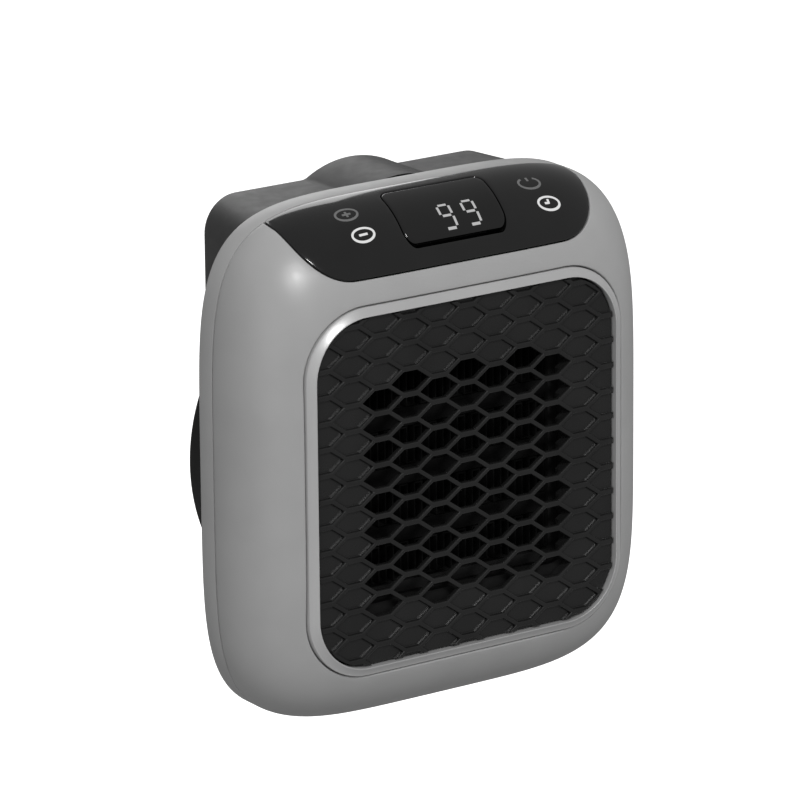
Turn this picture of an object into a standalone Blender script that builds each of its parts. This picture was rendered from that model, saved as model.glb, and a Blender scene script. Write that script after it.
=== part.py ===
"""Plug-in ceramic fan heater with a swivel plug, a honeycomb grille and a touch panel.

The design is written in millimetres in the housing's own axes: X to the right, Y back from
the front face and Z up from the middle of the grille. The housing hangs on its plug, so the
world's origin is the middle of the plug's wall face, and one empty carries the housing's
axes there.
"""

import math

import bmesh
import bpy
from mathutils import Matrix, Vector

MM = 0.001
GAP = 0.3  # between two pieces that rest on each other
RUNNING_GAP = 0.5  # round a piece that turns or tilts

# Housing
BODY_WIDTH = 130.0
BODY_HEIGHT = 142.2
BODY_RISE = 3.6  # middle of the body above the middle of the grille
CORNER_POWER = 4.9  # of the body's front outline, a superellipse
SHELL_DEPTH = 23.5
FRAME_DEPTH = 7.1
WALL = 2.4
SIDE_CROWN = 21.0  # how far the outline draws in from the seam to the front face
TOP_CROWN = 29.7
BOTTOM_CROWN = 24.5
CROWN_POWER = 2.0
FRAME_EDGE = 1.0
BODY_POINTS = 56
CROWN_STEPS = 8

# Grille and its bright ring
SIDE_RIM = 14.6  # of the body's front view, beside the ring
TOP_RIM = 24.2  # above the ring
GRILLE_CORNER = 18.3
RING_WIDTH = 2.5
RING_SETBACK = 1.0  # outer edge, behind the foremost plane of the crown
RING_RISE = 1.4  # inner edge, proud of the outer edge
RING_DEPTH = 3.3
GRILLE_THICKNESS = 3.4
CELL_PITCH_X = 9.1
CELL_PITCH_Z = 7.06
CELL_LENGTH = 11.9  # of a hole, from point to point
CELL_FLAT = 4.2
CELL_HEIGHT = 5.4
OPEN_COLUMNS = 7
OPEN_ROWS = 9
CARRIER_THICKNESS = 2.4

# Control panel on the top of the front
PANEL_WIDTH = 97.2
PANEL_DROP = 17.4  # lower edge below the top of the body
PANEL_CORNER = 15.0
DISPLAY_WIDTH = 32.7
DISPLAY_LENGTH = 14.9
DISPLAY_CORNER = 3.0
DISPLAY_SETBACK = 4.7
DISPLAY_SHIFT = 0.8  # its middle, right of the body's
BOARD_THICKNESS = 1.6
PANEL_BOARD_DROP = 20.6  # display board's underside below the top of the body
PANEL_BOARD_LENGTH = 17.0
PANEL_BOARD_SETBACK = 6.5
PANEL_BOARD_MARGIN = 9.0
LED_BLOCK = (24.0, 11.0, 5.0)
LED_SETBACK = 3.0  # behind the window's front edge
TOUCH_SPACING = 58.0
TOUCH_FRONT = 9.1
TOUCH_BACK = 14.4
TOUCH_SPRING_RADIUS = 2.3

# Heater, duct and fan
PTC_SHARE_X = 0.675  # of the grille's width
PTC_SHARE_Z = 0.635
PTC_DEPTH = 9.0
PTC_SETBACK = 1.0  # behind the duct's front edge
PTC_RIM = 3.0
PTC_BARS = 3
PTC_BAR_HEIGHT = 5.0
FIN_PITCH = 4.6
FIN_SHEET = 0.4
DUCT_WALL = 1.8
DUCT_FLANGE = 4.0
DUCT_NECK = 0.4  # behind the heater, before the duct turns round
DUCT_TURN = 2.0
TIP_GAP = 1.3  # between the blades' tips and the duct
FAN_DROP = 2.0  # axis below the middle of the grille
FAN_BLADES = 7
FAN_LENGTH = 8.0
FAN_SETBACK = 0.7  # in front of the duct's back edge
HUB_RADIUS = 12.0
SHAFT_RADIUS = 1.5
MOTOR_RADIUS = 14.0
MOTOR_LENGTH = 16.0
BRACKET_THICKNESS = 2.0
BRACKET_ARM = 7.0

# Intake drum on the back
DRUM_RADIUS = 53.0
DRUM_DEPTH = 25.2
DRUM_WALL = 2.0
DRUM_EDGE = 2.5
INLET_MARGIN = 9.0
SLOT_WIDTH = 3.0
SLOT_STEP_ANGLE = 15  # between the slots in the drum's side, in degrees

# Plug box on the back, and the swivel plug
PLUG_RISE = 47.3  # plug's axis above the middle of the grille
BOX_WIDTH = 93.0
BOX_DEPTH = 25.0
BOX_DRAFT = 4.5  # each side, over the depth of the box
BOX_ABOVE = 23.3  # top of the box above the plug's axis
BOX_BELOW = 29.1
BOX_WALL = 2.2
BOX_CORNER = 10.0
BOX_EDGE = 1.5
HUMP_RIM = 6.0  # of the hump, round the plug's disc
HUMP_FILLET = 4.0
DISC_RADIUS = 21.5
DISC_PROUD = 4.7  # wall face behind the back of the box
DISC_THICKNESS = 10.0
RETAINER_THICKNESS = 2.4
CARRIER_RADIUS = 15.5
CARRIER_LENGTH = 9.0
CARRIER_FLOOR = 2.0  # in front of the blades
SLIP_RING_THICKNESS = 0.8
SLIP_RINGS = {"neutral": (4.0, 3.0), "line": (10.0, 3.5)}  # inner radius and width
CONTACT_PLATE = (56.0, 36.0, 1.6)
CONTACT_PLATE_SETBACK = 2.0
CONTACT_LEAF = (2.4, 8.0)
DETENT_SPRING = (18.0, 5.0, 1.0)
BLADE_SPACING = 12.7
BLADE_LENGTH = 17.5
BLADE_THICKNESS = 1.5
BLADE_WIDTHS = (6.35, 7.9)

# Rocker switch in the right side of the plug box
SWITCH_HEIGHT = 21.0
SWITCH_WIDTH = 15.0
SWITCH_BODY = 13.0
SWITCH_RIM = 1.4
SWITCH_BEZEL = 1.6
ROCKER_ANGLE = math.radians(11)
SWITCH_DROP = 8.0  # middle of the switch below the plug's axis

# Screws that hold the back frame to the front shell
SCREW_HEAD = 3.2
SCREW_SHANK = 1.5
SCREW_BOSS = 4.0
SCREW_ANGLES = (11, -45)  # round the body's outline, from its right side
BOSS_CLEARANCE = 0.6  # from the frame's wall; the shell's crown draws in to meet the boss
SCREW_SEAT = 1.4  # depth of the seat in the frame
BOSS_FRONT = 14.0
BORE_FRONT = 17.0
SCREW_TIP = 18.0

# Main board above the duct
MAIN_BOARD_RISE = 7.0  # above the duct
MAIN_BOARD_SIDE = 18.0  # from the inside of the shell
PART_SHARE = 0.85  # of the room under the display board
RELAY = (-30.0, -11.0, 16.0)  # left, right and depth
CAPACITOR = (2.0, 5.0)  # middle and radius
SUPPLY = (12.0, 32.0, 16.0)
CUTOUT = (16.0, 6.0, 5.0)  # middle, radius and height
FUSE = (-26.0, -12.0, 2.0)  # ends and radius

# Worked out from the sizes above
BODY_TOP = BODY_RISE + BODY_HEIGHT / 2
BODY_BOTTOM = BODY_RISE - BODY_HEIGHT / 2
FRAME_FRONT = SHELL_DEPTH + GAP
FRAME_BACK = SHELL_DEPTH + FRAME_DEPTH
BACK_FRONT = FRAME_BACK + GAP
BOX_BACK = BACK_FRONT + BOX_DEPTH
DRUM_BACK = BACK_FRONT + DRUM_DEPTH
WALL_FACE = BOX_BACK + DISC_PROUD
GRILLE_WIDTH = BODY_WIDTH - 2 * SIDE_RIM
GRILLE_HEIGHT = 2 * (BODY_TOP - TOP_RIM)
PTC_WIDTH = GRILLE_WIDTH * PTC_SHARE_X
PTC_HEIGHT = GRILLE_HEIGHT * PTC_SHARE_Z
GRILLE_BACK = RING_DEPTH + GAP
CARRIER_FRONT = GRILLE_BACK + GAP
DUCT_FRONT = CARRIER_FRONT + CARRIER_THICKNESS + GAP
DUCT_BACK = FRAME_BACK - WALL - GAP
PTC_FRONT = DUCT_FRONT + PTC_SETBACK
FAN_BACK = DUCT_BACK - FAN_SETBACK
FAN_FRONT = FAN_BACK - FAN_LENGTH
DUCT_RADIUS = PTC_HEIGHT / 2 + GAP - FAN_DROP  # the throat ends level with the mouth's foot
FAN_RADIUS = DUCT_RADIUS - TIP_GAP
HUMP_RADIUS = DISC_RADIUS + HUMP_RIM
CHORD = PLUG_RISE - BOX_BELOW - GAP  # flat top of the drum, under the plug box
MAIN_BOARD_Z = PTC_HEIGHT / 2 + GAP + DUCT_WALL + MAIN_BOARD_RISE
PANEL_BOARD_Z = BODY_TOP - PANEL_BOARD_DROP

PALETTE = {
    "grey_shell": ((0.27, 0.27, 0.27), 0.42, 0.0),
    "dark_grey": ((0.07, 0.07, 0.07), 0.45, 0.0),
    "black_plastic": ((0.012, 0.012, 0.012), 0.4, 0.0),
    "gloss_black": ((0.01, 0.01, 0.01), 0.08, 0.0),
    "silver": ((0.6, 0.6, 0.6), 0.28, 0.9),
    "steel": ((0.55, 0.55, 0.55), 0.3, 1.0),
    "brass": ((0.6, 0.42, 0.15), 0.3, 1.0),
    "aluminium": ((0.65, 0.65, 0.66), 0.35, 1.0),
    "board_green": ((0.02, 0.12, 0.05), 0.5, 0.0),
    "mica": ((0.45, 0.42, 0.36), 0.6, 0.0),
    "white_plastic": ((0.75, 0.75, 0.73), 0.4, 0.0),
    "blue_relay": ((0.03, 0.1, 0.35), 0.4, 0.0),
}


def clear_scene():
    for thing in list(bpy.data.objects):
        bpy.data.objects.remove(thing, do_unlink=True)


def make_empty(name, place, parent=None, turn=0.0):
    """An empty at a place in millimetres, turned about Z."""
    made = bpy.data.objects.new(name, None)
    made.location = Vector(place) * MM
    made.rotation_euler = (0, 0, turn)
    made.parent = parent
    bpy.context.scene.collection.objects.link(made)
    return made


def make_material(name, finish):
    colour, roughness, metallic = PALETTE[finish]
    made = bpy.data.materials.new(name)
    made.use_nodes = True
    shader = made.node_tree.nodes["Principled BSDF"]
    shader.inputs["Base Color"].default_value = (*colour, 1)
    shader.inputs["Roughness"].default_value = roughness
    shader.inputs["Metallic"].default_value = metallic
    return made


def add_loops(mesh, loops, ring=False):
    """Adds one closed surface: the loops bridged in turn, and capped, or closed to a ring."""
    rows = [[mesh.verts.new(Vector(point) * MM) for point in loop] for loop in loops]
    pairs = list(zip(rows, rows[1:]))
    if ring:
        pairs.append((rows[-1], rows[0]))
    else:
        mesh.faces.new(rows[0])
        mesh.faces.new(rows[-1])
    for one, two in pairs:
        for i in range(len(one)):
            j = (i + 1) % len(one)
            mesh.faces.new((one[i], one[j], two[j], two[i]))


def make_object(name, surfaces, finish, parent, at=(0, 0, 0)):
    """An object whose mesh holds each (loops, ring) in surfaces. `at` is its origin."""
    mesh = bmesh.new()
    for loops, ring in surfaces:
        add_loops(mesh, loops, ring)
    bmesh.ops.translate(mesh, verts=mesh.verts, vec=-Vector(at) * MM)
    bmesh.ops.recalc_face_normals(mesh, faces=mesh.faces)
    data = bpy.data.meshes.new(name)
    mesh.to_mesh(data)
    mesh.free()
    data.shade_smooth()
    data.set_sharp_from_angle(angle=math.radians(30))
    made = bpy.data.objects.new(name, data)
    made.location = Vector(at) * MM
    made.parent = parent
    bpy.context.scene.collection.objects.link(made)
    if finish:
        data.materials.append(make_material(f"{name}_finish", finish))
    return made


def make_cutter(name, surfaces, parent):
    made = make_object(name, surfaces, None, parent)
    made.hide_render = True
    made.display_type = "WIRE"
    return made


def boolean(target, operation, name, surfaces):
    """Cuts, keeps or adds the surfaces, given in the axes of the target's parent."""
    modifier = target.modifiers.new(name, "BOOLEAN")
    modifier.operation = operation
    modifier.solver = "EXACT"
    modifier.object = make_cutter(f"{target.name}_{name}", surfaces, target.parent)


def along_y(outline, y):
    return [(x, y, z) for x, z in outline]


def along_z(outline, z):
    return [(x, y, z) for x, y in outline]


def prism_y(outline, front, back):
    """A straight solid along Y over an outline of (x, z)."""
    return [along_y(outline, front), along_y(outline, back)], False


def prism_z(outline, bottom, top):
    """A straight solid along Z over an outline of (x, y)."""
    return [along_z(outline, bottom), along_z(outline, top)], False


def block(x, y, z):
    """A box between two values along each axis."""
    corners = [(x[0], y[0]), (x[1], y[0]), (x[1], y[1]), (x[0], y[1])]
    return prism_z(corners, *z)


def arc(centre, radius, start, end, steps):
    """Points on an arc, both ends included, with its angles in degrees."""
    turns = [math.radians(start + (end - start) * i / steps) for i in range(steps + 1)]
    return [(centre[0] + radius * math.cos(a), centre[1] + radius * math.sin(a)) for a in turns]


def circle(radius, centre=(0, 0), points=32):
    return arc(centre, radius, 0, 360 * (points - 1) / points, points - 1)


def rounded(width, height, radius, centre=(0, 0), steps=6):
    """A rectangle with rounded corners, the radius kept under half of the shorter side."""
    radius = min(radius, min(width, height) / 2 - 0.05)
    x, y = width / 2 - radius, height / 2 - radius
    corners = [(x, y, 0), (-x, y, 90), (-x, -y, 180), (x, -y, 270)]
    points = []
    for dx, dy, start in corners:
        points += arc((centre[0] + dx, centre[1] + dy), radius, start, start + 90, steps)
    return points


def turned(profile, centre_z=0.0, points=32, centre_x=0.0, ring=False):
    """A solid turned about Y from a profile of (radius, y)."""
    return [along_y(circle(r, (centre_x, centre_z), points), y) for r, y in profile], ring


# ---------------------------------------------------------------- housing


def body_outline(drawn, inset):
    """The body's section, drawn in by a share of its crown and by an inset."""
    half = BODY_WIDTH / 2 - SIDE_CROWN * drawn - inset
    top = BODY_TOP - TOP_CROWN * drawn - inset
    bottom = BODY_BOTTOM + BOTTOM_CROWN * drawn + inset
    middle, rise = (top + bottom) / 2, (top - bottom) / 2
    turns = [2 * math.pi * i / BODY_POINTS for i in range(BODY_POINTS)]
    return [superellipse(half, rise, middle, turn) for turn in turns]


def superellipse(half, rise, middle, turn):
    c, s = math.cos(turn), math.sin(turn)
    x = half * math.copysign(abs(c) ** (2 / CORNER_POWER), c)
    z = rise * math.copysign(abs(s) ** (2 / CORNER_POWER), s)
    return x, middle + z


def crown_form(inset, back):
    """The crowned front form inside an inset, closed at a depth behind the seam."""
    loops = [along_y(body_outline(0, inset), back)] if back > SHELL_DEPTH else []
    for i in range(CROWN_STEPS + 1):
        turn = math.pi / 2 * i / CROWN_STEPS
        reach = math.sin(turn) ** (2 / CROWN_POWER)
        drawn = 1 - max(0.0, math.cos(turn)) ** (2 / CROWN_POWER)
        depth = inset + (SHELL_DEPTH - inset) * (1 - reach)
        loops.append(along_y(body_outline(drawn, inset), depth))
    return loops, False


def crown_top(x, y, inset):
    """Height of the crowned form's top over a point of the plan."""
    reach = (SHELL_DEPTH - max(y, inset)) / (SHELL_DEPTH - inset)
    drawn = 1 - (1 - min(1.0, reach) ** CROWN_POWER) ** (1 / CROWN_POWER)
    half = BODY_WIDTH / 2 - SIDE_CROWN * drawn - inset
    top = BODY_TOP - TOP_CROWN * drawn - inset
    bottom = BODY_BOTTOM + BOTTOM_CROWN * drawn + inset
    share = (1 - abs(x / half) ** CORNER_POWER) ** (1 / CORNER_POWER)
    return (top + bottom) / 2 + (top - bottom) / 2 * share


def panel_outline(inset):
    """Front view of the control panel: open at the top, with two rounded lower corners."""
    half = PANEL_WIDTH / 2 - inset
    low = BODY_TOP - PANEL_DROP + inset
    high = BODY_TOP + 10
    radius = PANEL_CORNER - inset
    left = arc((-half + radius, low + radius), radius, 180, 270, 6)
    right = arc((half - radius, low + radius), radius, 270, 360, 6)
    return left + right + [(half, high), (-half, high)]


def screw_places():
    """The screws stand on the body's outline, drawn in by the wall and the boss."""
    inset = WALL + BOSS_CLEARANCE + SCREW_BOSS
    places = []
    for degrees in SCREW_ANGLES:
        half, rise = BODY_WIDTH / 2 - inset, BODY_HEIGHT / 2 - inset
        x, z = superellipse(half, rise, BODY_RISE, math.radians(degrees))
        places += [(-x, z), (x, z)]
    return places


def display_outline(inset):
    length = DISPLAY_LENGTH - 2 * inset
    middle = DISPLAY_SETBACK + DISPLAY_LENGTH / 2
    return rounded(DISPLAY_WIDTH - 2 * inset, length, DISPLAY_CORNER - inset, (DISPLAY_SHIFT, middle))


def make_front(housing):
    shell = make_object("front_shell", [crown_form(0, SHELL_DEPTH)], "grey_shell", housing)
    boolean(shell, "DIFFERENCE", "hollow", [crown_form(WALL, SHELL_DEPTH + 2)])
    bosses = [
        turned([(SCREW_BOSS, BOSS_FRONT), (SCREW_BOSS, FRAME_BACK - WALL - GAP)], z, 16, x)
        for x, z in screw_places()
    ]
    boolean(shell, "UNION", "bosses", bosses)
    bores = [
        turned([(SCREW_SHANK + GAP, BORE_FRONT), (SCREW_SHANK + GAP, FRAME_BACK)], z, 12, x)
        for x, z in screw_places()
    ]
    boolean(shell, "DIFFERENCE", "bores", bores)
    opening = rounded(
        GRILLE_WIDTH + 2 * RUNNING_GAP, GRILLE_HEIGHT + 2 * RUNNING_GAP, GRILLE_CORNER + RUNNING_GAP
    )
    boolean(shell, "DIFFERENCE", "opening", [prism_y(opening, -5, DUCT_FRONT)])
    boolean(shell, "DIFFERENCE", "panel_cut", [prism_y(panel_outline(0), -5, SHELL_DEPTH + 5)])


def make_panel(housing):
    panel = make_object("control_panel", [crown_form(0, SHELL_DEPTH)], "gloss_black", housing)
    boolean(panel, "DIFFERENCE", "hollow", [crown_form(WALL, SHELL_DEPTH + 2)])
    boolean(panel, "INTERSECT", "trim", [prism_y(panel_outline(GAP), -5, SHELL_DEPTH + 5)])
    low = BODY_TOP - PANEL_DROP
    window = prism_z(display_outline(0), low - 5, BODY_TOP + 5)
    boolean(panel, "DIFFERENCE", "window", [window])
    lens = make_object("display_lens", [crown_form(0, SHELL_DEPTH)], "gloss_black", housing)
    boolean(lens, "DIFFERENCE", "hollow", [crown_form(WALL, SHELL_DEPTH + 2)])
    inner = prism_z(display_outline(GAP), low + 2 * GAP, BODY_TOP + 5)
    boolean(lens, "INTERSECT", "trim", [inner])


def make_panel_electronics(housing):
    half = PANEL_WIDTH / 2 - PANEL_BOARD_MARGIN
    y = (PANEL_BOARD_SETBACK, PANEL_BOARD_SETBACK + PANEL_BOARD_LENGTH)
    z = (PANEL_BOARD_Z, PANEL_BOARD_Z + BOARD_THICKNESS)
    make_object("display_board", [block((-half, half), y, z)], "board_green", housing)
    width, length, height = LED_BLOCK
    front = DISPLAY_SETBACK + LED_SETBACK
    base = z[1] + GAP
    led = block((-width / 2, width / 2), (front, front + length), (base, base + height))
    make_object("led_digit_module", [led], "black_plastic", housing)
    places = {
        "plus": (-1, TOUCH_BACK),
        "minus": (-1, TOUCH_FRONT),
        "power": (1, TOUCH_BACK),
        "timer": (1, TOUCH_FRONT),
    }
    for name, (side, y) in places.items():
        x = side * TOUCH_SPACING / 2
        reach = TOUCH_SPRING_RADIUS
        middle = max(y, PANEL_BOARD_SETBACK + reach + GAP)
        top = crown_top(abs(x) + reach, middle - reach, WALL) - 2 * GAP
        spring = prism_z(circle(reach, (x, middle), 12), base, top)
        make_object(f"touch_spring_{name}", [spring], "steel", housing)


def ring_loop(inset, y):
    width, height = GRILLE_WIDTH - 2 * inset, GRILLE_HEIGHT - 2 * inset
    return along_y(rounded(width, height, GRILLE_CORNER - inset), y)


def make_grille(housing):
    loops = [
        ring_loop(0, RING_DEPTH),
        ring_loop(0, RING_SETBACK),
        ring_loop(RING_WIDTH, RING_SETBACK - RING_RISE),
        ring_loop(RING_WIDTH, RING_DEPTH),
    ]
    make_object("grille_ring", [(loops, True)], "silver", housing)
    inset = RING_WIDTH + RUNNING_GAP
    width, height = GRILLE_WIDTH - 2 * inset, GRILLE_HEIGHT - 2 * inset
    plate = rounded(width, height, GRILLE_CORNER - inset)
    front = GRILLE_BACK - GRILLE_THICKNESS
    grille = make_object(
        "honeycomb_grille", [prism_y(plate, front, GRILLE_BACK)], "black_plastic", housing
    )
    cells = [prism_y(cell_outline(x, z), front - 2, GRILLE_BACK + 2) for x, z in open_cells()]
    boolean(grille, "DIFFERENCE", "cells", cells)
    outer = rounded(GRILLE_WIDTH, GRILLE_HEIGHT, GRILLE_CORNER)
    inner = rounded(PTC_WIDTH, PTC_HEIGHT, 5)
    back = CARRIER_FRONT + CARRIER_THICKNESS
    loops = [along_y(outer, CARRIER_FRONT), along_y(outer, back)]
    loops += [along_y(inner, back), along_y(inner, CARRIER_FRONT)]
    make_object("grille_carrier", [(loops, True)], "black_plastic", housing)


def open_cells():
    """Middles of the cells that let air through, every second column half a row lower."""
    reach = OPEN_COLUMNS // 2
    for column in range(-reach, reach + 1):
        shift = 0.5 if column % 2 else 0.0
        for row in range(OPEN_ROWS):
            z = (row - (OPEN_ROWS - 1) / 2 - shift) * CELL_PITCH_Z
            yield column * CELL_PITCH_X, z


def cell_outline(x, z):
    point, flat, rise = CELL_LENGTH / 2, CELL_FLAT / 2, CELL_HEIGHT / 2
    corners = [(point, 0), (flat, rise), (-flat, rise), (-point, 0), (-flat, -rise), (flat, -rise)]
    return [(x + dx, z + dz) for dx, dz in corners]


def make_frame(housing):
    loops = [along_y(body_outline(0, 0), FRAME_FRONT)]
    for i in range(5):
        turn = math.pi / 2 * i / 4
        inset = FRAME_EDGE * (1 - math.cos(turn))
        depth = FRAME_BACK - FRAME_EDGE + FRAME_EDGE * math.sin(turn)
        loops.append(along_y(body_outline(0, inset), depth))
    frame = make_object("back_frame", [(loops, False)], "grey_shell", housing)
    inner = body_outline(0, WALL)
    boolean(frame, "DIFFERENCE", "hollow", [prism_y(inner, SHELL_DEPTH - 2, FRAME_BACK - WALL)])
    inlet = drum_outline(DRUM_RADIUS - DRUM_WALL - INLET_MARGIN, CHORD - DRUM_WALL - 1)
    boolean(frame, "DIFFERENCE", "inlet", [prism_y(inlet, FRAME_BACK - 6, FRAME_BACK + 4)])
    wire_hole = rounded(BOX_WIDTH / 2, BOX_BELOW / 2, 4, (0, PLUG_RISE))
    boolean(frame, "DIFFERENCE", "wires", [prism_y(wire_hole, FRAME_BACK - 6, FRAME_BACK + 4)])
    seat = FRAME_BACK - SCREW_SEAT
    holes = [
        turned([(SCREW_HEAD + GAP, seat), (SCREW_HEAD + GAP, FRAME_BACK + 2)], z, 16, x)
        for x, z in screw_places()
    ]
    boolean(frame, "DIFFERENCE", "screw_seats", holes)
    bores = [
        turned([(SCREW_SHANK + GAP, FRAME_BACK - 5), (SCREW_SHANK + GAP, FRAME_BACK)], z, 12, x)
        for x, z in screw_places()
    ]
    boolean(frame, "DIFFERENCE", "screw_bores", bores)
    names = ("left", "right", "foot_left", "foot_right")
    for name, (x, z) in zip(names, screw_places()):
        profile = [
            (SCREW_SHANK, SCREW_TIP),
            (SCREW_SHANK, seat + GAP),
            (SCREW_HEAD, seat + GAP),
            (SCREW_HEAD, FRAME_BACK - 0.2),
        ]
        make_object(f"case_screw_{name}", [turned(profile, z, 12, x)], "steel", housing)


# ---------------------------------------------------------------- heater and fan


def make_heater(housing):
    half, rise = PTC_WIDTH / 2, PTC_HEIGHT / 2
    back = PTC_FRONT + PTC_DEPTH
    outer = rounded(PTC_WIDTH, PTC_HEIGHT, 2, steps=2)
    inner = rounded(PTC_WIDTH - 2 * PTC_RIM, PTC_HEIGHT - 2 * PTC_RIM, 1, steps=2)
    loops = [along_y(outer, PTC_FRONT), along_y(outer, back)]
    loops += [along_y(inner, back), along_y(inner, PTC_FRONT)]
    make_object("heater_frame", [(loops, True)], "mica", housing)

    reach = half - PTC_RIM - GAP
    room = PTC_HEIGHT - 2 * PTC_RIM - PTC_BARS * PTC_BAR_HEIGHT
    bank = room / (PTC_BARS + 1)
    y = (PTC_FRONT + 1, back - 1)
    for i in range(PTC_BARS):
        low = -rise + PTC_RIM + (i + 1) * bank + i * PTC_BAR_HEIGHT
        bar = block((-reach, reach), y, (low, low + PTC_BAR_HEIGHT))
        make_object(f"ceramic_bar_{i + 1}", [bar], "aluminium", housing)
    for i in range(PTC_BARS + 1):
        low = -rise + PTC_RIM + i * (bank + PTC_BAR_HEIGHT)
        fins = fin_outline(reach - GAP, low + GAP, low + bank - GAP)
        make_object(f"fin_bank_{i + 1}", [prism_y(fins, *y)], "aluminium", housing)


def fin_outline(reach, low, high):
    """A folded fin sheet seen from the front: a square wave between two heights."""
    folds = int(4 * reach / FIN_PITCH)
    step = (2 * reach - FIN_SHEET) / folds
    ends = (low + FIN_SHEET / 2, high - FIN_SHEET / 2)
    path = []
    for i in range(folds + 1):
        x = -reach + FIN_SHEET / 2 + i * step
        path += [(x, ends[i % 2]), (x, ends[(i + 1) % 2])]
    return ribbon(path, FIN_SHEET)


def ribbon(path, thickness):
    """The outline of a strip that follows a path, with mitred corners."""
    points = [Vector(point) for point in path]
    steps = [(two - one).normalized() for one, two in zip(points, points[1:])]
    normals = [Vector((-step.y, step.x)) for step in steps]
    left, right = [], []
    for point, one, two in zip(points, normals[:1] + normals, normals + normals[-1:]):
        shift = (one + two) / (1 + one.dot(two)) * thickness / 2
        left.append(tuple(point + shift))
        right.append(tuple(point - shift))
    return left + right[::-1]


def make_duct(housing):
    """A square mouth round the heater that narrows to a round throat for the fan."""
    width, height = PTC_WIDTH + 2 * GAP, PTC_HEIGHT + 2 * GAP
    throat = PTC_FRONT + PTC_DEPTH + DUCT_NECK
    rounding = throat + DUCT_TURN
    axis = (0, -FAN_DROP)

    def mouth(grow, y):
        return along_y(rounded(width + 2 * grow, height + 2 * grow, 2.5 + grow, steps=8), y)

    def bell(grow, y):
        size = 2 * (DUCT_RADIUS + grow)
        return along_y(rounded(size, size, size / 2, axis, steps=8), y)

    loops = [
        mouth(DUCT_FLANGE, DUCT_FRONT),
        mouth(DUCT_FLANGE, DUCT_FRONT + DUCT_WALL),
        mouth(DUCT_WALL, DUCT_FRONT + DUCT_WALL),
        mouth(DUCT_WALL, throat + DUCT_WALL),
        bell(DUCT_WALL, rounding + DUCT_WALL),
        bell(DUCT_WALL, DUCT_BACK),
        bell(0, DUCT_BACK),
        bell(0, rounding),
        mouth(0, throat),
        mouth(0, DUCT_FRONT),
    ]
    make_object("air_duct", [(loops, True)], "black_plastic", housing)


def blade_loops(turn):
    """One fan blade from inside the hub to the tip, twisted less towards the tip."""
    middle = (FAN_FRONT + FAN_BACK) / 2
    loops = []
    for i in range(5):
        share = i / 4
        radius = HUB_RADIUS - 1.2 + (FAN_RADIUS - HUB_RADIUS + 1.2) * share
        spread = math.radians(21 - 2 * share)
        rise = FAN_LENGTH / 2 - 1.0 - 1.6 * share
        front, back = [], []
        for side in (-1, 0, 1):
            angle = turn + side * spread
            x, z = radius * math.sin(angle), radius * math.cos(angle)
            y = middle + side * rise
            front.append((x, y - 0.7, z - FAN_DROP))
            back.append((x, y + 0.7, z - FAN_DROP))
        loops.append(front + back[::-1])
    return loops, False


def make_fan(housing):
    axis = (0, FAN_FRONT, -FAN_DROP)
    hub = [
        (SHAFT_RADIUS + GAP, FAN_BACK),
        (SHAFT_RADIUS + GAP, FAN_FRONT),
        (HUB_RADIUS - 3, FAN_FRONT),
        (HUB_RADIUS, FAN_FRONT + 3),
        (HUB_RADIUS, FAN_BACK),
    ]
    loops, _ = turned(hub, -FAN_DROP, 24)
    fan = make_object("fan_rotor", [(loops, True)], "black_plastic", housing, axis)
    blades = [blade_loops(2 * math.pi * i / FAN_BLADES) for i in range(FAN_BLADES)]
    boolean(fan, "UNION", "blades", blades)

    motor_front = BACK_FRONT + BRACKET_THICKNESS + GAP
    shaft_back = motor_front + 4
    shaft = turned([(SHAFT_RADIUS, FAN_FRONT - 1), (SHAFT_RADIUS, shaft_back)], -FAN_DROP, 12)
    make_object("fan_shaft", [shaft], "steel", housing, axis)

    bore = SHAFT_RADIUS + RUNNING_GAP
    profile = [
        (bore, shaft_back + 1),
        (bore, motor_front),
        (MOTOR_RADIUS - 0.8, motor_front),
        (MOTOR_RADIUS, motor_front + 0.8),
        (MOTOR_RADIUS, motor_front + MOTOR_LENGTH - 0.8),
        (MOTOR_RADIUS - 0.8, motor_front + MOTOR_LENGTH),
        (MOTOR_RADIUS / 3, motor_front + MOTOR_LENGTH),
        (MOTOR_RADIUS / 3, motor_front + MOTOR_LENGTH + 1.5),
    ]
    make_object("fan_motor", [turned(profile, -FAN_DROP, 24)], "steel", housing)

    hole = 2 * bore
    profile = [
        (hole, BACK_FRONT),
        (MOTOR_RADIUS - 1, BACK_FRONT),
        (MOTOR_RADIUS - 1, BACK_FRONT + BRACKET_THICKNESS),
        (hole, BACK_FRONT + BRACKET_THICKNESS),
    ]
    loops, _ = turned(profile, -FAN_DROP, 24)
    bracket = make_object("motor_bracket", [(loops, True)], "steel", housing)
    boolean(bracket, "UNION", "arms", [bracket_arm(angle) for angle in (-90, 12, 168)])


def bracket_arm(degrees):
    """A flat arm from the bracket's middle to the rim of the inlet."""
    start, end = MOTOR_RADIUS - 4, DRUM_RADIUS - DRUM_WALL - INLET_MARGIN / 2
    half = BRACKET_ARM / 2
    corners = [(start, -half), (end, -half), (end, half), (start, half)]
    turn = Matrix.Rotation(math.radians(degrees), 2)
    turned_corners = [turn @ Vector(corner) for corner in corners]
    outline = [(x, z - FAN_DROP) for x, z in turned_corners]
    inset = 0.05  # keeps the arm's faces off the disc's
    return prism_y(outline, BACK_FRONT + inset, BACK_FRONT + BRACKET_THICKNESS - inset)


# ---------------------------------------------------------------- back of the housing


def drum_outline(radius, chord):
    """A circle about the fan's axis, cut flat at a height."""
    start = math.degrees(math.asin(min(0.95, (chord + FAN_DROP) / radius)))
    return arc((0, -FAN_DROP), radius, 180 - start, 360 + start, 36)


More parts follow.
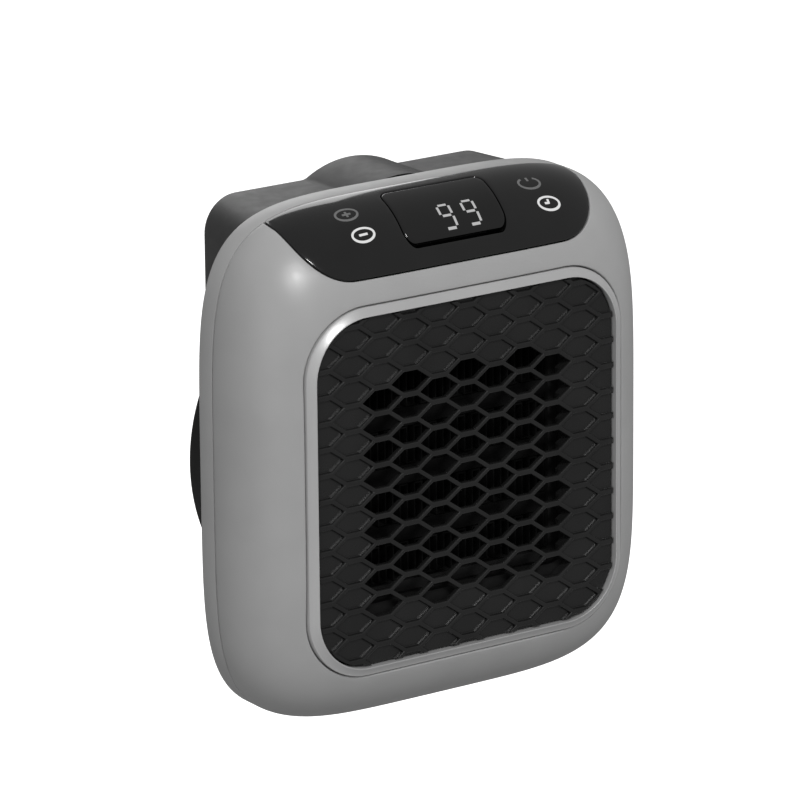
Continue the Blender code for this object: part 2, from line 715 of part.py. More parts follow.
def make_drum(housing):
    loops = [along_y(drum_outline(DRUM_RADIUS, CHORD), BACK_FRONT)]
    for i in range(4):
        turn = math.pi / 2 * i / 3
        inset = DRUM_EDGE * (1 - math.cos(turn))
        depth = DRUM_BACK - DRUM_EDGE + DRUM_EDGE * math.sin(turn)
        loops.append(along_y(drum_outline(DRUM_RADIUS - inset, CHORD - inset), depth))
    drum = make_object("intake_drum", [(loops, False)], "black_plastic", housing)
    hollow = drum_outline(DRUM_RADIUS - DRUM_WALL, CHORD - DRUM_WALL)
    boolean(drum, "DIFFERENCE", "hollow", [prism_y(hollow, BACK_FRONT - 2, DRUM_BACK - DRUM_WALL)])
    boolean(drum, "DIFFERENCE", "slots", list(drum_slots()))
    boolean(drum, "DIFFERENCE", "side_slots", list(drum_side_slots()))


def drum_slots():
    """Upright slots in the drum's back face, each as long as the face is high there."""
    radius = DRUM_RADIUS - DRUM_EDGE - 5
    high = CHORD - DRUM_EDGE - 4
    count = int(radius / (2 * SLOT_WIDTH))
    for i in range(-count, count + 1):
        x = i * 2 * SLOT_WIDTH
        room = math.sqrt(radius**2 - x**2)
        low, top = -FAN_DROP - room, min(high, -FAN_DROP + room)
        y = (DRUM_BACK - DRUM_WALL - 2, DRUM_BACK + 2)
        x_range = (x - SLOT_WIDTH / 2, x + SLOT_WIDTH / 2)
        if top + FAN_DROP > MOTOR_RADIUS and low + FAN_DROP < -MOTOR_RADIUS:
            yield block(x_range, y, (low, -FAN_DROP - SLOT_WIDTH))
            yield block(x_range, y, (-FAN_DROP + SLOT_WIDTH, top))
        else:
            yield block(x_range, y, (low, top))


def drum_side_slots():
    """Slots along the drum's side, spaced by angle below its flat top."""
    length = DRUM_DEPTH - DRUM_EDGE - 7
    for degrees in range(-210, 31, SLOT_STEP_ANGLE):
        turn = math.radians(degrees)
        along = Vector((math.cos(turn), math.sin(turn)))
        across = Vector((-along.y, along.x)) * SLOT_WIDTH / 2
        near, far = DRUM_RADIUS - DRUM_WALL - 2, DRUM_RADIUS + 2
        if along.y * DRUM_RADIUS - FAN_DROP > CHORD - 8:
            continue
        corners = [along * near - across, along * far - across]
        corners += [along * far + across, along * near + across]
        outline = [(p.x, p.y - FAN_DROP) for p in corners]
        yield prism_y(outline, BACK_FRONT + 4, BACK_FRONT + 4 + length)


def box_outline(half, inset):
    """Back view of the plug box: rounded top corners and a hump round the plug's axis."""
    half -= inset
    top, low = BOX_ABOVE - inset, -BOX_BELOW + inset
    hump, fillet, corner = HUMP_RADIUS - inset, HUMP_FILLET + inset, BOX_CORNER - inset
    across = math.sqrt((hump + fillet) ** 2 - (top + fillet) ** 2)
    lean = math.degrees(math.atan2(top + fillet, across))
    foot = max(0.4, 3 - inset)
    right = arc((half - foot, low + foot), foot, -90, 0, 3)
    right += arc((half - corner, top - corner), corner, 0, 90, 6)
    right += arc((across, top + fillet), fillet, -90, lean - 180, 4)
    right += arc((0, 0), hump, lean, 90, 6)[1:]
    left = [(-x, z) for x, z in right[-2::-1]]
    return [(x, PLUG_RISE + z) for x, z in right + left]


def box_half(y):
    """Half width of the plug box at a depth: it narrows towards the wall."""
    return BOX_WIDTH / 2 + BOX_DRAFT * (BOX_BACK - y) / BOX_DEPTH


def make_plug_box(housing, side):
    loops = [along_y(box_outline(box_half(BACK_FRONT), 0), BACK_FRONT)]
    for i in range(5):
        turn = math.pi / 2 * i / 4
        inset = BOX_EDGE * (1 - math.cos(turn))
        depth = BOX_BACK - BOX_EDGE + BOX_EDGE * math.sin(turn)
        loops.append(along_y(box_outline(box_half(depth), inset), depth))
    box = make_object("plug_box", [(loops, False)], "dark_grey", housing)
    front, back = BACK_FRONT - 1, BOX_BACK - BOX_WALL
    hollow = [along_y(box_outline(box_half(y), BOX_WALL), y) for y in (front, back)]
    boolean(box, "DIFFERENCE", "hollow", [(hollow, False)])
    radius = DISC_RADIUS + RUNNING_GAP
    hole = turned([(radius, back - 3), (radius, BOX_BACK + 3)], PLUG_RISE, 48)
    boolean(box, "DIFFERENCE", "plug_hole", [hole])
    cut = box.modifiers.new("switch_hole", "BOOLEAN")
    cut.operation, cut.solver = "DIFFERENCE", "EXACT"
    cut.object = make_cutter("plug_box_switch_hole", [switch_block(GAP, -8, 4)], side)


def switch_block(grow, inner, outer):
    """The switch's body, across the wall of the box, in the axes of that wall."""
    half_y = SWITCH_WIDTH / 2 - SWITCH_RIM + grow
    half_z = SWITCH_HEIGHT / 2 - SWITCH_RIM + grow
    return block((inner, outer), (-half_y, half_y), (-half_z, half_z))


def make_switch(side):
    inside = -SWITCH_BODY
    case = make_object("switch_case", [switch_block(0, inside, GAP * 2)], "black_plastic", side)
    bezel = block(
        (GAP, SWITCH_BEZEL),
        (-SWITCH_WIDTH / 2, SWITCH_WIDTH / 2),
        (-SWITCH_HEIGHT / 2, SWITCH_HEIGHT / 2),
    )
    boolean(case, "UNION", "bezel", [bezel])
    half_y, half_z = SWITCH_WIDTH / 2 - 2 * SWITCH_RIM, SWITCH_HEIGHT / 2 - 2 * SWITCH_RIM
    well = block((-6, SWITCH_BEZEL + 2), (-half_y, half_y), (-half_z, half_z))
    boolean(case, "DIFFERENCE", "well", [well])
    reach = half_z - RUNNING_GAP
    width = half_y - RUNNING_GAP
    crest = reach * math.tan(ROCKER_ANGLE)
    dip = SWITCH_BEZEL - 0.7
    profile = [(-3, -reach + 1.6), (-3, reach - 1.6), (dip + crest, reach - 0.9)]
    profile += [(dip, 0), (dip + crest, -reach + 0.9)]
    loops = [[(x, y, z) for x, z in profile] for y in (-width, width)]
    rocker = make_object("power_rocker", [(loops, False)], "black_plastic", side)
    rocker.rotation_euler = (0, -ROCKER_ANGLE, 0)


# ---------------------------------------------------------------- swivel plug


def blade_block(side, width, grow, front, back):
    x = side * BLADE_SPACING / 2
    half_x, half_z = BLADE_THICKNESS / 2 + grow, width / 2 + grow
    return block((x - half_x, x + half_x), (front, back), (-half_z, half_z))


def make_plug(plug):
    """The plug's pieces, in the world's axes: the wall face is at Y = 0."""
    front = -DISC_THICKNESS
    profile = [
        (DISC_RADIUS - 0.6, front),
        (DISC_RADIUS, front + 0.6),
        (DISC_RADIUS, -1.0),
        (DISC_RADIUS - 1.0, 0.0),
    ]
    disc = make_object("plug_disc", [turned(profile, 0, 48)], "dark_grey", plug)
    carrier_back = front - GAP
    carrier_front = carrier_back - CARRIER_LENGTH
    profile = [(CARRIER_RADIUS, carrier_front), (CARRIER_RADIUS, carrier_back)]
    carrier = make_object("blade_carrier", [turned(profile, 0, 32)], "white_plastic", plug)
    sides = list(zip(("left", "right"), (-1, 1), BLADE_WIDTHS))
    slots = [blade_block(side, width, GAP, front - 2, 3) for _, side, width in sides]
    boolean(disc, "DIFFERENCE", "slots", slots)
    bottom = carrier_front + CARRIER_FLOOR
    slots = [blade_block(side, width, GAP, bottom - GAP, front + 2) for _, side, width in sides]
    boolean(carrier, "DIFFERENCE", "slots", slots)
    for name, side, width in sides:
        blade = blade_block(side, width, 0, bottom, BLADE_LENGTH)
        made = make_object(f"plug_blade_{name}", [blade], "brass", plug)
        tip = made.modifiers.new("tip", "BEVEL")
        tip.width, tip.segments = BLADE_THICKNESS * 0.3 * MM, 1

    outer = HUMP_RADIUS - BOX_WALL - RUNNING_GAP
    back = -DISC_PROUD - BOX_WALL - RUNNING_GAP
    ring = [(DISC_RADIUS + GAP, back), (outer, back)]
    ring += [(outer, back - RETAINER_THICKNESS), (DISC_RADIUS + GAP, back - RETAINER_THICKNESS)]
    make_object("plug_retainer", [turned(ring, 0, 40, ring=True)], "black_plastic", plug)

    ring_back = carrier_front - GAP
    ring_front = ring_back - SLIP_RING_THICKNESS
    for name, (inner, wide) in SLIP_RINGS.items():
        profile = [(inner, ring_back), (inner + wide, ring_back)]
        profile += [(inner + wide, ring_front), (inner, ring_front)]
        make_object(f"slip_ring_{name}", [turned(profile, 0, 24, ring=True)], "brass", plug)
    return ring_front + WALL_FACE


def make_contacts(housing, ring_front):
    """The fixed contacts that press on the plug's slip rings, in the housing's axes."""
    width, height, thickness = CONTACT_PLATE
    front = BACK_FRONT + CONTACT_PLATE_SETBACK
    plate = (front, front + thickness)
    rows = (PLUG_RISE - height / 2, PLUG_RISE + height / 2)
    board = block((-width / 2, width / 2), plate, rows)
    make_object("contact_plate", [board], "mica", housing)
    leaf_width, leaf_height = CONTACT_LEAF
    for name, side in (("neutral", 1), ("line", -1)):
        inner, wide = SLIP_RINGS[name]
        x = side * (inner + wide / 2)
        columns = (x - leaf_width / 2, x + leaf_width / 2)
        reach = (plate[1] + GAP, ring_front - GAP)
        leaf = block(columns, reach, (PLUG_RISE - leaf_height / 2, PLUG_RISE + leaf_height / 2))
        make_object(f"contact_leaf_{name}", [leaf], "brass", housing)
    length, depth, thickness = DETENT_SPRING
    middle = WALL_FACE - DISC_THICKNESS - GAP - CARRIER_LENGTH / 2
    rise = PLUG_RISE + CARRIER_RADIUS + RUNNING_GAP
    across, along = (-length / 2, length / 2), (middle - depth / 2, middle + depth / 2)
    detent = block(across, along, (rise, rise + thickness))
    make_object("detent_spring", [detent], "steel", housing)


def make_main_board(housing):
    half = BODY_WIDTH / 2 - WALL - MAIN_BOARD_SIDE
    y = (DUCT_FRONT + 2, DUCT_BACK - 1)
    z = (MAIN_BOARD_Z, MAIN_BOARD_Z + BOARD_THICKNESS)
    make_object("main_board", [block((-half, half), y, z)], "board_green", housing)
    base = z[1] + GAP
    top = base + PART_SHARE * (PANEL_BOARD_Z - base)
    middle = (y[0] + y[1]) / 2
    parts = (("heater_relay", RELAY, "blue_relay"), ("power_module", SUPPLY, "black_plastic"))
    for name, (left, right, depth), finish in parts:
        body = block((left, right), (middle - depth / 2, middle + depth / 2), (base, top))
        make_object(name, [body], finish, housing)
    x, radius = CAPACITOR
    capacitor = prism_z(circle(radius, (x, middle), 20), base, top)
    make_object("smoothing_capacitor", [capacitor], "dark_grey", housing)
    roof = PTC_HEIGHT / 2 + GAP + DUCT_WALL + GAP
    flange = DUCT_FRONT + DUCT_WALL + GAP
    x, radius, height = CUTOUT
    cutout = prism_z(circle(radius, (x, flange + radius), 20), roof, roof + height)
    make_object("thermal_cutout", [cutout], "steel", housing)
    start, end, radius = FUSE
    section = circle(radius, (flange + 2 * radius, roof + radius), 12)
    fuse = [[(x, y, z) for y, z in section] for x in (start, end)]
    make_object("thermal_fuse", [(fuse, False)], "white_plastic", housing)


def main():
    clear_scene()
    plug = make_empty("plug_axes", (0, 0, 0))
    housing = make_empty("housing_axes", (0, -WALL_FACE, -PLUG_RISE))
    lean = math.atan2(BOX_DRAFT, BOX_DEPTH)
    middle = (BACK_FRONT + BOX_BACK) / 2
    place = (box_half(middle), middle, PLUG_RISE - SWITCH_DROP)
    side = make_empty("switch_axes", place, housing, lean)
    make_front(housing)
    make_panel(housing)
    make_panel_electronics(housing)
    make_grille(housing)
    make_frame(housing)
    make_heater(housing)
    make_duct(housing)
    make_fan(housing)
    make_drum(housing)
    make_plug_box(housing, side)
    make_switch(side)
    ring_front = make_plug(plug)
    make_contacts(housing, ring_front)
    make_main_board(housing)


main()
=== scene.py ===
import math

import bmesh
import bpy
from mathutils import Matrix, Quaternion, Vector
from mathutils.geometry import delaunay_2d_cdt

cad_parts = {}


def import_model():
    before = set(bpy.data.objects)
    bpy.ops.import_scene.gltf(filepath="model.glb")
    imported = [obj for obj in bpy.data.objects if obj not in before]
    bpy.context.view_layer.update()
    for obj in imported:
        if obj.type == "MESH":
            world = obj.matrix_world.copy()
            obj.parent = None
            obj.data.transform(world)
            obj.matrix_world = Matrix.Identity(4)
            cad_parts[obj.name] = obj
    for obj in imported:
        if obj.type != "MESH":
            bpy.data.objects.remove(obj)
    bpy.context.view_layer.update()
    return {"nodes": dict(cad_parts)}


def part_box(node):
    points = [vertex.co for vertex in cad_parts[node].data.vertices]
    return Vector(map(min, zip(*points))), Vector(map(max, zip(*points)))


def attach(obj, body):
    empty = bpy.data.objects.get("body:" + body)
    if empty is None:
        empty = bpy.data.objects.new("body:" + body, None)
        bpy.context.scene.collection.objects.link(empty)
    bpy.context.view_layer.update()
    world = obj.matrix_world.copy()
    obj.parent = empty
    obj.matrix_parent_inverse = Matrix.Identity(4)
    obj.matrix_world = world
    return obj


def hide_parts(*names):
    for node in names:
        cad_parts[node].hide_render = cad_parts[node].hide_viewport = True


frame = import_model()

MM = 0.001
GAP = 0.3
EDGE = 0.35  # rounding of a moulded part's cut edges
WALL = 2.4


def size_of(node):
    """Lowest and highest corners of a CAD node in millimetres, in the housing's own axes."""
    low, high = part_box(node)
    return low / MM - HOUSING, high / MM - HOUSING


# The housing's axes: X right, Y back from the front face, Z up from the middle of the grille.
RING_PROUD = 0.4  # the ring's inner edge, in front of the crown's foremost plane
ring_low, ring_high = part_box("grille_ring")
HOUSING = Vector((0, ring_low.y, (ring_low.z + ring_high.z) / 2)) / MM + Vector((0, RING_PROUD, 0))

# Body: a crowned front over a flat back frame
frame_low, frame_high = size_of("back_frame")
BODY_HALF = frame_high.x
BODY_TOP = frame_high.z
BODY_BOTTOM = frame_low.z
FRAME_FRONT = frame_low.y
FRAME_BACK = frame_high.y
SHELL_DEPTH = FRAME_FRONT - GAP
SIDE_CROWN = 21.0
TOP_CROWN = 29.7
BOTTOM_CROWN = 24.5
CORNER_POWER = 4.9
PROFILE_POWER = 2.0

# Panel and display
PANEL_HALF = size_of("control_panel")[1].x
PANEL_LOW = size_of("control_panel")[0].z
PANEL_CORNER = 15.0
LENS_LOW, LENS_HIGH = size_of("display_lens")
LENS_CORNER = 2.7
LENS_REAR = 19.3
KEY_PLACES = {
    "minus": (-27.1, 8.5), "plus": (-28.6, 14.2), "timer": (31.9, 8.1), "power": (29.3, 13.5)
}
KEY_HALF = (3.3, 2.0)  # half width of a key's ring, and half its length along the slope
KEY_STROKE = 0.65
DIGIT_X = (-0.3, 7.3)
DIGIT_Y = 9.0
DIGIT_SIZE = (3.6, 7.1)
DIGIT_STROKE = 0.7

# Grille
ring_low, ring_high = size_of("grille_ring")
RING_WIDTH = ring_high.x - ring_low.x
RING_HEIGHT = ring_high.z - ring_low.z
RING_FRONT = ring_low.y
RING_BACK = ring_high.y
RING_BAND = 2.5
RING_CORNER = 18.3
grille_low, grille_high = size_of("honeycomb_grille")
CELL_PITCH = (9.1, 7.06)
RECESS = 1.0  # of the blind cells
CELL_SIZE = (11.9, 4.2, 5.4)  # point to point, flat, height
WEB_DEPTH = 1.3  # of the webs between the open cells
OPEN_REACH = 3
OPEN_ROWS = 9

# Heater and fan
FAN_DROP = 2.0

# Back
drum_low, drum_high = size_of("intake_drum")
DRUM_RADIUS = drum_high.x
DRUM_TOP = drum_high.z
box_low, box_high = size_of("plug_box")
PLUG_RISE = -HOUSING.z
BOX_HALF = 46.5
BOX_DRAFT = 4.5
BOX_TOP = 23.3  # above the plug's axis
BOX_FOOT = -29.1
HUMP_RADIUS = 27.5
HUMP_FILLET = 4.0
BOX_CORNER = 10.0
BOX_EDGE = 1.5
SWITCH_LOW = -17.4  # foot and head of the switch's opening, from the plug's axis
SWITCH_HIGH = 1.4
SWITCH_REACH = 6.4  # half its length along the wall
FRAME_EDGE = 1.0
DRUM_EDGE = 2.5
DISC_RADIUS = size_of("plug_disc")[1].x
WALL_FACE = -HOUSING.y
BOX_WALL = 2.2
SCREW_SHANK = 1.5
SCREW_HEAD = 0.9
SCREW_SEAT = 3.65  # radius of the seat in the back frame
INLET_MARGIN = 11.0  # between the drum's outside and the frame's inlet
SLOT_WIDTH = 3.0
HUB_RADIUS = 14.0  # the drum's middle, where the slots part
WIRE_OPENING = 14.55  # height of the frame's opening into the plug box
FRAME_WALL = 1.4
DRUM_WALL = 2.0

# Swivel plug
PLUG_BLADES = (("left", -1, 6.35), ("right", 1, 7.9))  # side and width
BLADE_THICKNESS = 1.5
BLADE_SPACING = 12.7
DISC_THICKNESS = 10.0

# Light and camera
AMBIENT = 0.25
KEY_PLACE = (-312.0, -1045.0, 1023.0)  # mirrors in the front's upper left corner
KEY_POWER = 12.5
CAMERA_PLACE = (-905.0, -1301.0, 500.3)
CAMERA_AIM = (-11.6, 15.1, 18.3)
CAMERA_ROLL = -0.54  # degrees


# ------------------------------------------------------------------ materials


def colour(text):
    """An sRGB hex colour as linear RGBA."""
    parts = [int(text[i : i + 2], 16) / 255 for i in (1, 3, 5)]
    linear = [c / 12.92 if c <= 0.04045 else ((c + 0.055) / 1.055) ** 2.4 for c in parts]
    return (*linear, 1.0)


def add(tree, kind, settings=None, links=None):
    """Adds a node. A setting names a socket by name or number, or a property of the node."""
    node = tree.nodes.new(kind)
    for key, value in (settings or {}).items():
        if isinstance(key, int) or key in node.inputs:
            node.inputs[key].default_value = value
        else:
            setattr(node, key, value)
    for key, source in (links or {}).items():
        tree.links.new(source, node.inputs[key])
    return node


def finish(name, shader_settings):
    """A new material with its Principled shader set, and its tree to add patterns to."""
    made = bpy.data.materials.new(name)
    made.use_nodes = True
    tree = made.node_tree
    shader = tree.nodes["Principled BSDF"]
    for key, value in shader_settings.items():
        shader.inputs[key].default_value = value
    return made, tree, shader


def grain(tree, scale_mm, detail=2.0, roughness=0.5):
    """Noise on Object coordinates whose grains are about scale_mm across."""
    place = add(tree, "ShaderNodeTexCoord")
    return add(
        tree,
        "ShaderNodeTexNoise",
        {"Scale": 1 / (scale_mm * MM), "Detail": detail, "Roughness": roughness},
        {"Vector": place.outputs["Object"]},
    )


def tint(tree, shader, noise, low, high):
    """Base colour that wanders between two close tones."""
    ramp = add(tree, "ShaderNodeValToRGB", {}, {"Fac": noise.outputs["Fac"]})
    ramp.color_ramp.elements[0].position = 0.35
    ramp.color_ramp.elements[1].position = 0.65
    ramp.color_ramp.elements[0].color = colour(low)
    ramp.color_ramp.elements[1].color = colour(high)
    tree.links.new(ramp.outputs["Color"], shader.inputs["Base Color"])


def polish(tree, shader, noise, low, high):
    """Roughness that wanders between two values."""
    spread = add(
        tree,
        "ShaderNodeMapRange",
        {"From Min": 0.3, "From Max": 0.7, "To Min": low, "To Max": high},
        {"Value": noise.outputs["Fac"]},
    )
    tree.links.new(spread.outputs["Result"], shader.inputs["Roughness"])


def relief(tree, shader, height, strength, depth_mm):
    bump = add(
        tree,
        "ShaderNodeBump",
        {"Strength": strength, "Distance": depth_mm * MM},
        {"Height": height},
    )
    tree.links.new(bump.outputs["Normal"], shader.inputs["Normal"])


def moulded(name, low, high, rough, texture_mm=0.45, depth_mm=0.02, settings=None):
    """Injection-moulded plastic from a spark-eroded tool: satin, with a fine pebbled texture."""
    base = {"IOR": 1.5, **(settings or {})}
    made, tree, shader = finish(name, base)
    tint(tree, shader, grain(tree, 14.0), low, high)
    polish(tree, shader, grain(tree, 3.0), rough - 0.03, rough + 0.03)
    texture = grain(tree, texture_mm, 1.0)
    relief(tree, shader, texture.outputs["Fac"], 0.25, depth_mm)
    return made


def plated(name, low, high, rough, texture_mm=0.3, depth_mm=0.01, settings=None):
    """Metal with a fine surface and small changes of polish."""
    made, tree, shader = finish(name, {"Metallic": 1.0, **(settings or {})})
    tint(tree, shader, grain(tree, 6.0), low, high)
    polish(tree, shader, grain(tree, 1.5), rough - 0.05, rough + 0.05)
    texture = grain(tree, texture_mm, 1.0)
    relief(tree, shader, texture.outputs["Fac"], 0.15, depth_mm)
    return made


def laminate(name, low, high, thread_mm, rough):
    """Woven glass laminate under a lacquer: a fine square weave shows through."""
    made, tree, shader = finish(name, {"IOR": 1.5, "Coat Weight": 0.4, "Coat Roughness": 0.15})
    place = add(tree, "ShaderNodeTexCoord")
    waves = []
    for axis in ("X", "Y"):
        waves.append(
            add(
                tree,
                "ShaderNodeTexWave",
                {"bands_direction": axis, "Scale": 0.314 / (thread_mm * MM), "Distortion": 0.3},
                {"Vector": place.outputs["Object"]},
            )
        )
    weave = add(
        tree,
        "ShaderNodeMath",
        {"operation": "MULTIPLY"},
        {0: waves[0].outputs["Fac"], 1: waves[1].outputs["Fac"]},
    )
    tint(tree, shader, grain(tree, 5.0), low, high)
    polish(tree, shader, grain(tree, 2.0), rough - 0.05, rough + 0.05)
    relief(tree, shader, weave.outputs["Value"], 0.2, 0.02)
    return made


# Front shell and back frame: ABS moulded in mid grey from a finely textured tool. It reads as
# an even satin with a soft broad highlight; the texture is 0.45 mm, drawn a little coarse.
SATIN_GREY_ABS = moulded("satin_grey_abs", "#8b8b8b", "#8e8e8e", 0.36, 0.45, 0.012)
# Plug box and plug disc: the same ABS in dark grey, from a coarser texture, so it is duller.
DARK_GREY_ABS = moulded("dark_grey_abs", "#242424", "#282828", 0.46, 0.6, 0.02)
# Grille, fan and switch: black ABS from a lightly polished tool, so edges catch thin bright lines.
# Its texture is 0.5 mm.
BLACK_ABS = moulded("black_abs", "#141414", "#181818", 0.26, 0.5, 0.012)
# Drum, duct, carriers and cases: black heat-resistant PBT from a blasted tool, a dull soot black
# with a 0.4 mm texture.
BLACK_PBT = moulded(
    "black_pbt", "#101010", "#141414", 0.55, 0.4, 0.02, {"Specular IOR Level": 0.25}
)
# Fuse sleeve and blade carrier: unpainted moulded PBT, an even warm white with a 0.5 mm texture.
WHITE_PBT = moulded("white_pbt", "#d8d6cf", "#e0ded8", 0.45, 0.5, 0.02)
# Relay case: the same plastic dyed blue, moulded smoother, so a little glossier.
RELAY_BLUE = moulded("relay_blue_pbt", "#27509c", "#2b57a6", 0.35, 0.5, 0.015)
# Control panel: black acrylic film pressed on the moulding, mirror gloss with faint waviness
# about 30 mm across.
GLOSS_BLACK_ACRYLIC = moulded(
    "gloss_black_acrylic", "#0b0b0b", "#0e0e0e", 0.12, 30.0, 0.05,
    {"Coat Weight": 0.6, "Coat Roughness": 0.05},
)
# Display window: smoked acrylic, cast and polished, a shade darker and sharper than the panel.
SMOKED_ACRYLIC = moulded(
    "smoked_acrylic", "#070707", "#090909", 0.1, 30.0, 0.04,
    {"Coat Weight": 0.6, "Coat Roughness": 0.04},
)
# Grille ring: ABS sprayed with a satin silver lacquer. Its flake is too fine to see, so the
# band is even and pale; tone drifts over 40 mm and polish over 15 mm.
SATIN_SILVER, silver_tree, silver_shader = finish(
    "satin_silver_lacquer", {"Metallic": 0.45, "IOR": 1.5}
)
tint(silver_tree, silver_shader, grain(silver_tree, 40.0), "#b0b0b0", "#b5b5b5")
polish(silver_tree, silver_shader, grain(silver_tree, 15.0), 0.34, 0.38)
# Motor, bracket, shaft, cutout and case screws: steel with bright zinc plating, a pale cool grey
# with a 0.4 mm grain.
ZINC_STEEL = plated("zinc_plated_steel", "#a9acb0", "#b4b7ba", 0.34, 0.4, 0.01)
# Springs: drawn steel wire left bare, darker and smoother, with a 0.3 mm grain.
SPRING_STEEL = plated("spring_steel", "#8f9194", "#9a9c9f", 0.28)
# Slip rings and contact leaves: strip rolled and left bare, yellow with a soft shine.
BRASS = plated("rolled_brass", "#c29a50", "#cda65c", 0.28)
# Plug blades: brass stamped and nickel plated, pale and the brightest metal here.
NICKEL_BRASS = plated("nickel_plated_brass", "#c4c1b8", "#cfccc4", 0.24)
# Heater's fins and ceramic bars: a near-black painted shade that keeps the grille's open cells
# dark, sooty and dull, with a fine 0.3 mm tooth.
FINS_PAINTED_SHADE = moulded(
    "fins_painted_shade_black", "#060606", "#0a0a0a", 0.85, 0.3, 0.01, {"Specular IOR Level": 0.1}
)
# Boards: glass cloth in resin under a green mask; the threads lie 0.6 mm apart.
FIBREGLASS_BOARD = laminate("green_solder_mask", "#11402a", "#154a31", 0.6, 0.35)
# Contact plate: mica flakes pressed in resin, a dull brown-grey,
# drawn as a 1.2 mm weave.
MICA_BOARD = laminate("pressed_mica", "#8b8170", "#9b907d", 1.2, 0.55)


def lit(name, hex_colour, strength):
    """Back-lit white: a light guide behind the ink or the segment."""
    made, tree, shader = finish(name, {"Emission Strength": strength, "Roughness": 0.4, "IOR": 1.5})
    tint(tree, shader, grain(tree, 2.0), "#3c3c3c", "#404040")
    shader.inputs["Emission Color"].default_value = colour(hex_colour)
    return made


# Screen-printed symbols, lit from behind: the minus and timer signs bright, the others dimmed.
PANEL_INK = lit("backlit_white_ink", "#e6e6e6", 0.85)
DIM_INK = lit("dim_white_ink", "#6c6c6c", 0.5)
# Digit segments: diffused light through a moulded white guide.
LED_SEGMENT = lit("led_segment", "#c4c4c4", 0.75)


# ------------------------------------------------------------------ mesh helpers


def world(point):
    return (Vector(point) + HOUSING) * MM


def flat_at(y):
    """Lays a sheet's points on a plane that faces back."""
    return lambda x, z: ((x, y, z), (0, 1, 0))


def quarter(steps):
    """Angles of a quarter turn, without its start."""
    return [math.pi / 2 * i / steps for i in range(1, steps + 1)]


def upright(sections):
    """Loops of points from (outline, depth) pairs."""
    return [[(x, y, z) for x, z in outline] for outline, y in sections]


def make_piece(name, verts, faces, material, smooth=30):
    """A mesh piece from points in millimetres in the housing's axes."""
    data = bpy.data.meshes.new(name)
    data.from_pydata([world(p) for p in verts], [], faces)
    data.validate()
    built = bmesh.new()
    built.from_mesh(data)
    bmesh.ops.remove_doubles(built, verts=built.verts, dist=0.002 * MM)
    bmesh.ops.recalc_face_normals(built, faces=built.faces)
    built.to_mesh(data)
    built.free()
    data.materials.append(material)
    made = bpy.data.objects.new(name, data)
    bpy.context.scene.collection.objects.link(made)
    if smooth:
        data.shade_smooth()
        data.set_sharp_from_angle(angle=math.radians(smooth))
    return made


def join_meshes(parts):
    """One list of points and faces from several."""
    verts, faces = [], []
    for one_verts, one_faces in parts:
        start = len(verts)
        verts += one_verts
        faces += [tuple(start + i for i in face) for face in one_faces]
    return verts, faces


def loft(loops, closed=True, caps=(True, True), ring=False):
    """Bridges loops of equal length in turn."""
    count = len(loops[0])
    verts = [tuple(p) for loop in loops for p in loop]
    faces = []
    last = len(loops) if ring else len(loops) - 1
    for row in range(last):
        one, two = row * count, (row + 1) % len(loops) * count
        for i in range(count if closed else count - 1):
            j = (i + 1) % count
            faces.append((one + i, one + j, two + j, two + i))
    if not ring and caps[0]:
        faces.append(tuple(range(count))[::-1])
    if not ring and caps[1]:
        faces.append(tuple(range((len(loops) - 1) * count, len(loops) * count)))
    return verts, faces


def arc(centre, radius, start, end, steps):
    turns = [math.radians(start + (end - start) * i / steps) for i in range(steps + 1)]
    return [(centre[0] + radius * math.cos(a), centre[1] + radius * math.sin(a)) for a in turns]


def circle(radius, centre=(0, 0), points=48):
    return arc(centre, radius, 0, 360 * (points - 1) / points, points - 1)


def rounded(width, height, radius, centre=(0, 0), steps=12):
    x, y = width / 2 - radius, height / 2 - radius
    points = []
    for dx, dy, start in [(x, y, 0), (-x, y, 90), (-x, -y, 180), (x, -y, 270)]:
        points += arc((centre[0] + dx, centre[1] + dy), radius, start, start + 90, steps)
    return points


def spread(outline, spacing, closed=True):
    """The outline again with points no further apart than the spacing."""
    points = []
    pairs = zip(outline, outline[1:] + outline[:1]) if closed else zip(outline, outline[1:])
    for one, two in pairs:
        one, two = Vector(one), Vector(two)
        steps = max(1, math.ceil((two - one).length / spacing))
        points += [tuple(one.lerp(two, i / steps)) for i in range(steps)]
    if not closed:
        points.append(tuple(outline[-1]))
    return points


